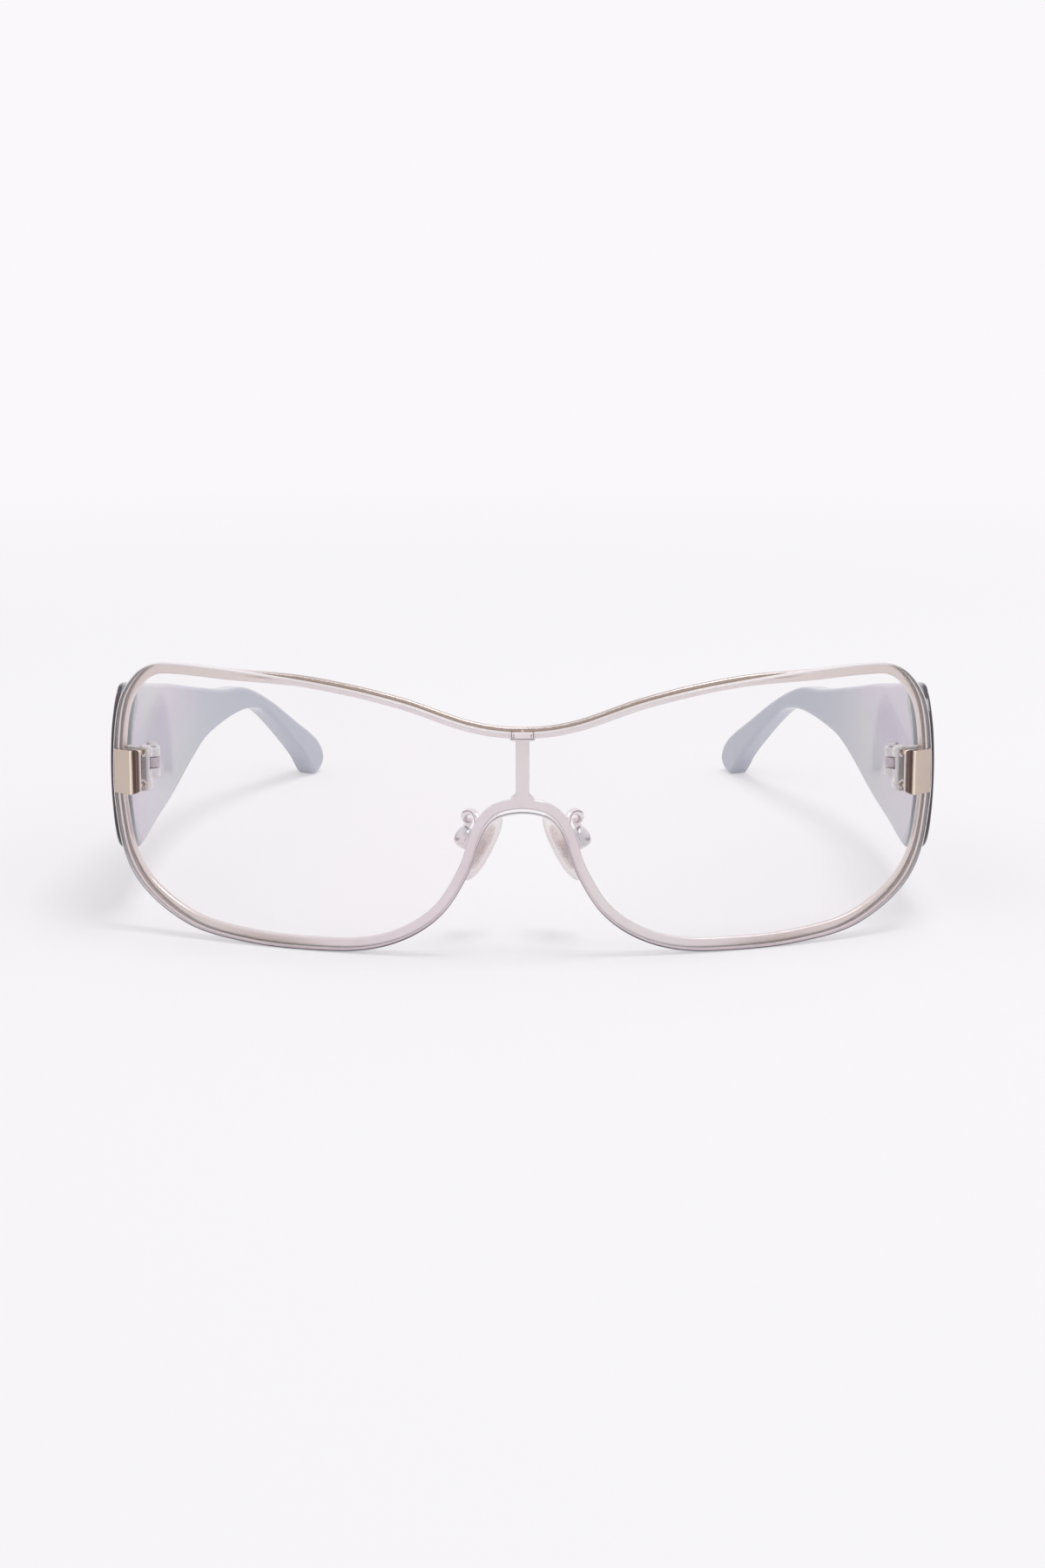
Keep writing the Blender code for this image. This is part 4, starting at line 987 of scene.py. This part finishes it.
def laminate(temple):
    """Acetate in layers: soft pearl inside and near-black plum outside, with slate blue painted shade round
    the front end.

    The painted slate stands for the front end's darker reflection and the rim's shadow there. It covers the
    inner face in front of a curve, which goes back by the square of the distance from its middle level up to
    a greatest value.
    """
    finish = Finish("laminate", ior=1.49, coat_roughness=0.03)
    slow = finish.noise(SLOW, 1, warp=0.4, stretch=SLOW_STRETCH)
    wide = finish.noise(WIDE, 1, warp=0.2, stretch=WIDE_STRETCH)
    fine = finish.noise(STREAKS, 3, 0.6, 1.2)
    along, level, through = finish.part("Y"), finish.part("Z"), finish.mark()
    rear = finish.between(along, *REAR_ALONG)
    inside = finish.between(along, *INSIDE_ALONG)
    blue = 1 - (1 - finish.between(slow, *BLUE_STEP) * inside) * (1 - rear)
    pearl = finish.mix(temple.pearl_lilac, temple.pearl_blue, blue)
    pearl = finish.mix(pearl, temple.pearl_grey, finish.between(wide, *GREY_STEP) * (1 - rear) * inside)
    deep = (1 - finish.between(level, *DEEP_LEVEL)) * (1 - rear)
    pearl = finish.mix(pearl, temple.pearl_deep, deep * DEEP_SHARE)
    # painted slate shade round the front end, running back on the inner face in front of a curve
    front = 1 - finish.between(along, temple.slate_end - temple.slate_fade, temple.slate_end)
    rise = level - SLATE_LEVEL
    past = along - finish.math("MINIMUM", rise * rise * SLATE_CURVE, SLATE_MOST) - SLATE_START
    behind = finish.between(past, -SLATE_SOFT, SLATE_SOFT)
    slate = 1 - behind * (1 - finish.between(through, *SLATE_MARK) * front)
    colour = finish.mix(pearl, temple.slate, slate)
    plum = finish.mix(temple.outer_plum, temple.outer_brown, finish.between(fine, *BROWN_STEP))
    layer = 1 - temple.layer_share * (1 - rear * LAYER_THINS)
    colour = finish.mix(colour, plum, finish.between(through, layer - LAYER_SOFT, layer + LAYER_SOFT))
    return finish.set(base_color=colour, roughness=fine * 0.06 + 0.2, coat_weight=slow * 0.2 + 0.4)


def soft_clear(pads):
    """Clear soft silicone with a faint rose cast, and a fine matt skin."""
    finish = Finish("soft_clear", ior=1.41)
    haze = finish.noise(HAZE)
    rim = finish.node("ShaderNodeLayerWeight", None, {"Blend": 0.4}, "Facing")
    colour = finish.mix(pads.rose, pads.clear, finish.between(haze, *HAZE_STEP))
    skin = finish.bump(finish.noise(SKIN), SKIN_DEPTH, 0.4)
    return finish.set(base_color=colour, roughness=haze * 0.15 + 0.2, alpha=rim * 0.55 + 0.2, normal=skin)


def core_metal(pads):
    """The crinkled metal inside a pad: pale with small dark folds."""
    finish = Finish("core_metal", metallic=0.3)
    folds = finish.noise(FOLDS, 3, 0.6, 1.5)
    tone = finish.mix(pads.core_fold, pads.core, finish.between(folds, *FOLD_STEP))
    normal = finish.bump(folds, FOLD_DEPTH, 0.5)
    return finish.set(base_color=tone, roughness=folds * 0.3 + 0.2, normal=normal)


# Settings

def size(name, default, text, low=0.0):
    """A length in metres for the panel."""
    return FloatProperty(name=name, default=default, min=low, unit="LENGTH", precision=5, description=text)


def tint(name, default, text):
    """A colour for the panel."""
    return FloatVectorProperty(name=name, default=default, size=3, min=0, max=1, subtype="COLOR",
                               description=text)


class FrontSettings(PropertyGroup):
    """Sizes and colours of the lens and the rim."""
    half_width: size("Half Width", 0.076, "Half of the lens along its bend")
    height: size("Height", 0.0488, "Height of the lens")
    thickness: size("Lens Thickness", 0.0018, "Thickness of the lens")
    wrap: size("Wrap Radius", 0.140, "Radius that the front is bent to")
    rim_thickness: size("Rim Thickness", 0.0011, "Thickness of the metal rim")
    rim_band: size("Rim Band", 0.0018, "Width of the rim round each window")
    bar_width: size("Bar Width", 0.0023, "Width of the bar between the windows")
    block_width: size("Block Width", 0.0043, "Width of an end block")
    block_height: size("Block Height", 0.0078, "Height of an end block")
    block_inner: size("Block Inner", 0.0018, "Thickness of an end block on its inner side")
    block_outer: size("Block Outer", 0.0008, "Thickness of an end block on its outer side")
    coating_rose: tint("Coating Rose", (0.985, 0.965, 0.975), "Rose part of the lens coating")
    coating_arch: tint("Arch Coating", (0.98, 0.945, 0.955), "Coating at the nose arch")
    coating_cream: tint("Coating Cream", (0.985, 0.978, 0.97), "Cream part of the lens coating")
    # Edge White is a painted highlight and Edge Line a painted line of shade on the lens's edge
    edge_highlight: tint("Edge White", (0.93, 0.91, 0.91), "Bright line of the lens's edge")
    edge_dark: tint("Edge Line", (0.13, 0.12, 0.13), "Dark line of the lens's edge")
    edge_grey: tint("Edge Grey", (0.62, 0.60, 0.62), "Blue grey back of the lens's edge at the sides")
    edge_rose: tint("Edge Rose", (0.86, 0.70, 0.76), "Rose back of the lens's edge")
    rim_colour: tint("Rim", (0.84, 0.785, 0.795), "Polished face of the rim")
    rim_dark: tint("Rim Shade", (0.79, 0.725, 0.735), "Duller parts of the rim's face")
    # Rim Sides and Rim Edge are painted shade, standing for darker reflections at the sides and on the cut
    # edges
    rim_side_shade: tint("Rim Sides", (0.76, 0.67, 0.64), "Warmer face of the rim at the sides")
    rim_edge_shade: tint("Rim Edge", (0.46, 0.37, 0.31), "Cut edge of the rim")
    block_colour: tint("Block", (0.60, 0.50, 0.43), "Champagne silver of the end blocks")
    block_dark: tint("Block Shade", (0.54, 0.45, 0.39), "Duller parts of the end blocks")
    # Block Line is a painted highlight round the front edge and Block Wall painted shade on the side walls
    block_highlight: tint("Block Line", (0.93, 0.80, 0.66), "Bright line round a block's front edge")
    block_wall_shade: tint("Block Wall", (0.14, 0.10, 0.09), "Dark side walls of the end blocks")
    plate_colour: tint("Plate", (0.72, 0.64, 0.62), "Thin foot under the end blocks")


class TempleSettings(PropertyGroup):
    """Sizes and colours of the temples."""
    length: size("Length", 0.1223, "Length of a temple along its path")
    top: size("Top", 0.0422, "Level of the temple's highest corner")
    thickness: size("Thickness", 0.0040, "Thickness of both layers together")
    edge: size("Inner Edge", 0.0009, "Radius of the temple's inner edges")
    outer_edge: size("Outer Edge", 0.0004, "Radius of the temple's outer edges")
    layer_share: FloatProperty(name="Outer Layer", default=0.22, min=0, max=1, subtype="FACTOR",
                               description="Share of the edge that the dark outer layer takes")
    pearl_lilac: tint("Lilac", (0.56, 0.45, 0.60), "Lilac of the inner layer")
    pearl_blue: tint("Blue Grey", (0.47, 0.49, 0.58), "Blue grey of the inner layer")
    pearl_grey: tint("Pale Grey", (0.51, 0.54, 0.54), "Pale grey of the inner layer")
    pearl_deep: tint("Deep Lilac", (0.36, 0.31, 0.40), "Lilac of the inner layer near the table")
    # Slate is painted shade: the front end's darker reflection and the rim's shadow there
    slate: tint("Slate", (0.25, 0.26, 0.30), "Slate blue of the front end's edge")
    slate_end: size("Slate End", -0.030, "Where the slate ends", -1.0)
    slate_fade: size("Slate Fade", 0.006, "Length over which the slate fades")
    outer_plum: tint("Plum", (0.030, 0.012, 0.022), "Near-black plum of the outer layer")
    outer_brown: tint("Brown", (0.075, 0.034, 0.024), "Brown depth of the outer layer")


class HingeSettings(PropertyGroup):
    """Colours of the hinges, screws and nuts."""
    steel: tint("Steel", (0.80, 0.77, 0.78), "Screws, nuts and wires")
    steel_dark: tint("Steel Shade", (0.70, 0.67, 0.69), "Duller parts of the steel")
    plate: tint("Plate", (0.90, 0.86, 0.88), "Hinge plates and their knuckles")
    plate_dark: tint("Plate Shade", (0.84, 0.80, 0.82), "Duller parts of the plates")
    knuckle: tint("Knuckle", (0.62, 0.54, 0.60), "Middle knuckles of the temples")
    knuckle_dark: tint("Knuckle Shade", (0.56, 0.48, 0.54), "Duller parts of the middle knuckles")
    # Edges and Edge Shade are a painted highlight along the hinges' rounded edges
    edge: tint("Edges", (0.96, 0.90, 0.86), "Bright rounded edges of the hinges")
    edge_dark: tint("Edge Shade", (0.86, 0.80, 0.76), "Duller parts of those edges")


class PadSettings(PropertyGroup):
    """Sizes and colours of the nose pads."""
    length: size("Length", 0.0132, "Length of a pad")
    width: size("Width", 0.0064, "Width of a pad")
    thickness: size("Thickness", 0.0022, "Thickness of a pad")
    rose: tint("Rose", (0.95, 0.80, 0.80), "Rose cast of the silicone")
    clear: tint("Clear", (0.96, 0.90, 0.88), "Clear part of the silicone")
    core: tint("Core", (0.95, 0.87, 0.86), "Bright part of the metal inside a pad")
    core_fold: tint("Core Folds", (0.34, 0.27, 0.26), "Dark folds of the metal inside a pad")
    box: tint("Box", (0.62, 0.61, 0.64), "Metal of the pad boxes")


class StageSettings(PropertyGroup):
    """Light levels, and colours of the table, the background and the sky."""
    table: tint("Table", (0.98, 0.97, 0.985), "Colour of the table")
    white: tint("Background", (0.955, 0.94, 0.965), "Colour of the background as it is seen")
    sky_colour: tint("Sky Colour", (0.985, 0.98, 1.0), "Colour of the even light from all round")
    sky: FloatProperty(name="Sky", default=0.67, min=0, description="Level of the even light")
    key: FloatProperty(name="Key", default=2.6, min=0, unit="POWER", description="Power of the softbox")
    key_width: size("Key Width", 0.34, "Width of the overhead softbox")


# Operators

SIDES = (("left", -1), ("right", 1))


def dress(endings, material):
    """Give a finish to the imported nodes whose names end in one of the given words."""
    for name, item in sorted(frame["nodes"].items()):
        if name.endswith(endings):
            item.data.materials.clear()
            item.data.materials.append(material)


def fit(piece, body, node):
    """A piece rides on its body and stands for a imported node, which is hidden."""
    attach(piece, body)
    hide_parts(node)


class EYEWEAR_OT_lens(Operator):
    """Make the clear shield lens"""
    bl_idname = "eyewear.lens"
    bl_label = "Lens"

    def execute(self, context):
        front = context.scene.sunglasses_front
        lens = lens_shape(front).piece("shield_lens", (clear_pane(front), painted_edge_lines(front)))
        fit(lens, "front", "lens")
        return {"FINISHED"}


class EYEWEAR_OT_rim(Operator):
    """Make the flat metal rim"""
    bl_idname = "eyewear.rim"
    bl_label = "Rim"

    def execute(self, context):
        front = context.scene.sunglasses_front
        fit(rim_shape(front).piece("rim_plate", (rim_metal(front),)), "front", "front_rim")
        return {"FINISHED"}


class EYEWEAR_OT_hinges(Operator):
    """Finish the end blocks, hinges, screws and nuts"""
    bl_idname = "eyewear.hinges"
    bl_label = "Blocks and Hinges"

    def execute(self, context):
        front, colours = context.scene.sunglasses_front, context.scene.sunglasses_hinge
        steel = bright_metal("steel", colours.steel, colours.steel_dark, 0.3)
        plate = bright_metal("plate_steel", colours.plate, colours.plate_dark, 0.3, 0.2)
        knuckle = bright_metal("middle_steel", colours.knuckle, colours.knuckle_dark, 0.3, 0.5)
        # painted highlight on the hinges' rounded edges
        edges = bright_metal("steel_edge_highlight", colours.edge, colours.edge_dark, 0.15)
        blocks = (block_metal(front), bright_metal("plate_metal", front.plate_colour, front.rim_dark))
        dress(("hinge_screw", "core"), steel)
        for side, sign in SIDES:
            block = block_shape(front).piece(side + "_block", blocks, sign)
            fit(block, "front", side + "_end_block")
            for level, up in (("lower", -1), ("upper", 1)):
                nut = nut_shape(front, up).piece(f"{side}_{level}_round_nut", (steel,), sign)
                fit(nut, "front", f"{side}_{level}_nut")
            for node, body, face in ((side + "_front_hinge", "front", plate),
                                     (side + "_temple_hinge", side + "_temple_group", knuckle)):
                fit(eased_copy(node, node + "_eased", (face, edges)), body, node)
        return {"FINISHED"}


class EYEWEAR_OT_temples(Operator):
    """Make the two laminated temples"""
    bl_idname = "eyewear.temples"
    bl_label = "Temples"

    def execute(self, context):
        front, settings = context.scene.sunglasses_front, context.scene.sunglasses_temple
        material = laminate(settings)
        for side, sign in SIDES:
            temple = temple_shape(front, settings).piece(side + "_temple_laminate", (material,), sign)
            fit(temple, side + "_temple_group", side + "_temple")
        return {"FINISHED"}


class EYEWEAR_OT_pads(Operator):
    """Make the soft nose pads and their arms"""
    bl_idname = "eyewear.pads"
    bl_label = "Pads and Arms"

    def execute(self, context):
        front, pads = context.scene.sunglasses_front, context.scene.sunglasses_pad
        clear = soft_clear(pads)
        wire = bright_metal("arm_metal", front.rim_colour, front.rim_dark, 0.16)
        cup = bright_metal("box_metal", pads.box, front.rim_dark)
        dress(("pad_insert",), core_metal(pads))
        dress(("pad_screw",), wire)
        for side, sign in SIDES:
            pad = pad_shape(pads).piece(side + "_soft_pad", (clear,), sign)
            fit(pad, side + "_pad_group", side + "_nose_pad")
            arm = arm_shape(front).piece(side + "_looped_arm", (wire,), sign)
            fit(arm, "front", side + "_nose_arm")
            box = box_shape().piece(side + "_round_box", (cup,), sign)
            fit(box, "front", side + "_pad_box")
        return {"FINISHED"}


class EYEWEAR_OT_stage(Operator):
    """Make the table, the light and the camera"""
    bl_idname = "eyewear.stage"
    bl_label = "Stage"

    def execute(self, context):
        settings, scene = context.scene.sunglasses_stage, context.scene
        scene.view_settings.view_transform = "Standard"
        self.make_table(scene, settings)
        self.make_sky(scene, settings)
        self.make_key(scene, settings)
        self.make_camera(scene)
        return {"FINISHED"}

    def make_table(self, scene, settings):
        """A round table top of flat rings, whose glow for the camera grows away from the middle."""
        turn = np.linspace(0, math.tau, TABLE_SIDES + 1)[:-1]
        reach = np.array(TABLE_RINGS)[:, None]
        disc = Shape()
        rings = (reach * np.cos(turn), reach * np.sin(turn), reach * turn * 0)
        disc.add(np.stack(rings, axis=-1), round_v=True)
        mesh = bpy.data.meshes.new("table")
        mesh.from_pydata(disc.points[0].tolist(), [], disc.faces[0].tolist())
        table = bpy.data.objects.new("table", mesh)
        scene.collection.objects.link(table)
        finish = Finish("table_white", roughness=0.9, specular_ior_level=0.0)
        shade = [value * TABLE_SHADE for value in settings.table]
        finish.set(base_color=finish.mix(settings.table, shade, finish.noise(TABLE_CLOUD)))
        glow = finish.node("ShaderNodeEmission", None, {"Color": (*settings.white, 1)}, "Emission")
        far = finish.node("ShaderNodeVectorMath", {"operation": "LENGTH"}, (finish.place(),), "Value")
        share = (finish.between(far, *GLOW_REACH) * (1 - GLOW) + GLOW) * finish.seen()
        blend = finish.node("ShaderNodeMixShader", None, (share, finish.lit(), glow), "Shader")
        mesh.materials.append(finish.surface(blend))
        table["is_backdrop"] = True

    def make_sky(self, scene, settings):
        """An even sky, seen white by the camera and by glossy and clear surfaces."""
        world = bpy.data.worlds.new("sky")
        scene.world = world
        sky = Sky(world)
        colour = (*settings.sky_colour, 1)
        light = sky.node("ShaderNodeBackground", None, (colour, settings.sky), "Background")
        white = sky.node("ShaderNodeBackground", None, ((*settings.white, 1), 1.0), "Background")
        blend = sky.node("ShaderNodeMixShader", None, (sky.seen(), light, white), "Shader")
        sky.tree.links.new(blend.socket, sky.tree.nodes["World Output"].inputs["Surface"])

    def make_key(self, scene, settings):
        """A square softbox overhead."""
        data = bpy.data.lights.new("key", "AREA")
        data.size = settings.key_width
        data.energy = settings.key
        lamp = bpy.data.objects.new("key", data)
        lamp.location = KEY_PLACE
        lamp.rotation_euler = (0, KEY_TILT, 0)
        scene.collection.objects.link(lamp)

    def make_camera(self, scene):
        """The camera of the photograph: in front, a little above, looking down."""
        data = bpy.data.cameras.new("camera")
        data.sensor_fit = "VERTICAL"
        data.sensor_height = SENSOR
        data.lens = CAMERA_LENS
        data.clip_start = CLIP_START
        camera = bpy.data.objects.new("camera", data)
        camera.location = CAMERA_PLACE
        camera.rotation_euler = (math.pi / 2 - CAMERA_PITCH, 0, 0)
        scene.collection.objects.link(camera)
        scene.camera = camera


class EYEWEAR_PT_panel(Panel):
    """Lists the pieces and their settings"""
    bl_label = "Shield Sunglasses"
    bl_idname = "EYEWEAR_PT_panel"
    bl_space_type = "VIEW_3D"
    bl_region_type = "UI"
    bl_category = "Eyewear"

    def draw(self, context):
        for group in GROUPS:
            box = self.layout.box()
            settings = getattr(context.scene, group)
            for key in settings.bl_rna.properties.keys():
                if key not in ("rna_type", "name"):
                    box.prop(settings, key)
        for operator in OPERATORS:
            self.layout.operator(operator.bl_idname)


GROUPS = {
    "sunglasses_front": FrontSettings,
    "sunglasses_hinge": HingeSettings,
    "sunglasses_temple": TempleSettings,
    "sunglasses_pad": PadSettings,
    "sunglasses_stage": StageSettings,
}
OPERATORS = (EYEWEAR_OT_stage, EYEWEAR_OT_lens, EYEWEAR_OT_rim, EYEWEAR_OT_hinges, EYEWEAR_OT_temples,
             EYEWEAR_OT_pads)


def register():
    for name, group in GROUPS.items():
        bpy.utils.register_class(group)
        setattr(bpy.types.Scene, name, PointerProperty(type=group))
    for operator in OPERATORS:
        bpy.utils.register_class(operator)
    bpy.utils.register_class(EYEWEAR_PT_panel)


def unregister():
    bpy.utils.unregister_class(EYEWEAR_PT_panel)
    for operator in reversed(OPERATORS):
        bpy.utils.unregister_class(operator)
    for name, group in reversed(GROUPS.items()):
        delattr(bpy.types.Scene, name)
        bpy.utils.unregister_class(group)


def plain(bounds):
    """Bounds as plain lists of numbers."""
    return [[float(value) for value in corner] for corner in bounds]


def main():
    register()
    for operator in OPERATORS:
        group, name = operator.bl_idname.split(".")
        getattr(getattr(bpy.ops, group), name)()
    {"cad": plain(CAD_BOUNDS), "visual": plain(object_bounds())}


if __name__ == "__main__":
    main()
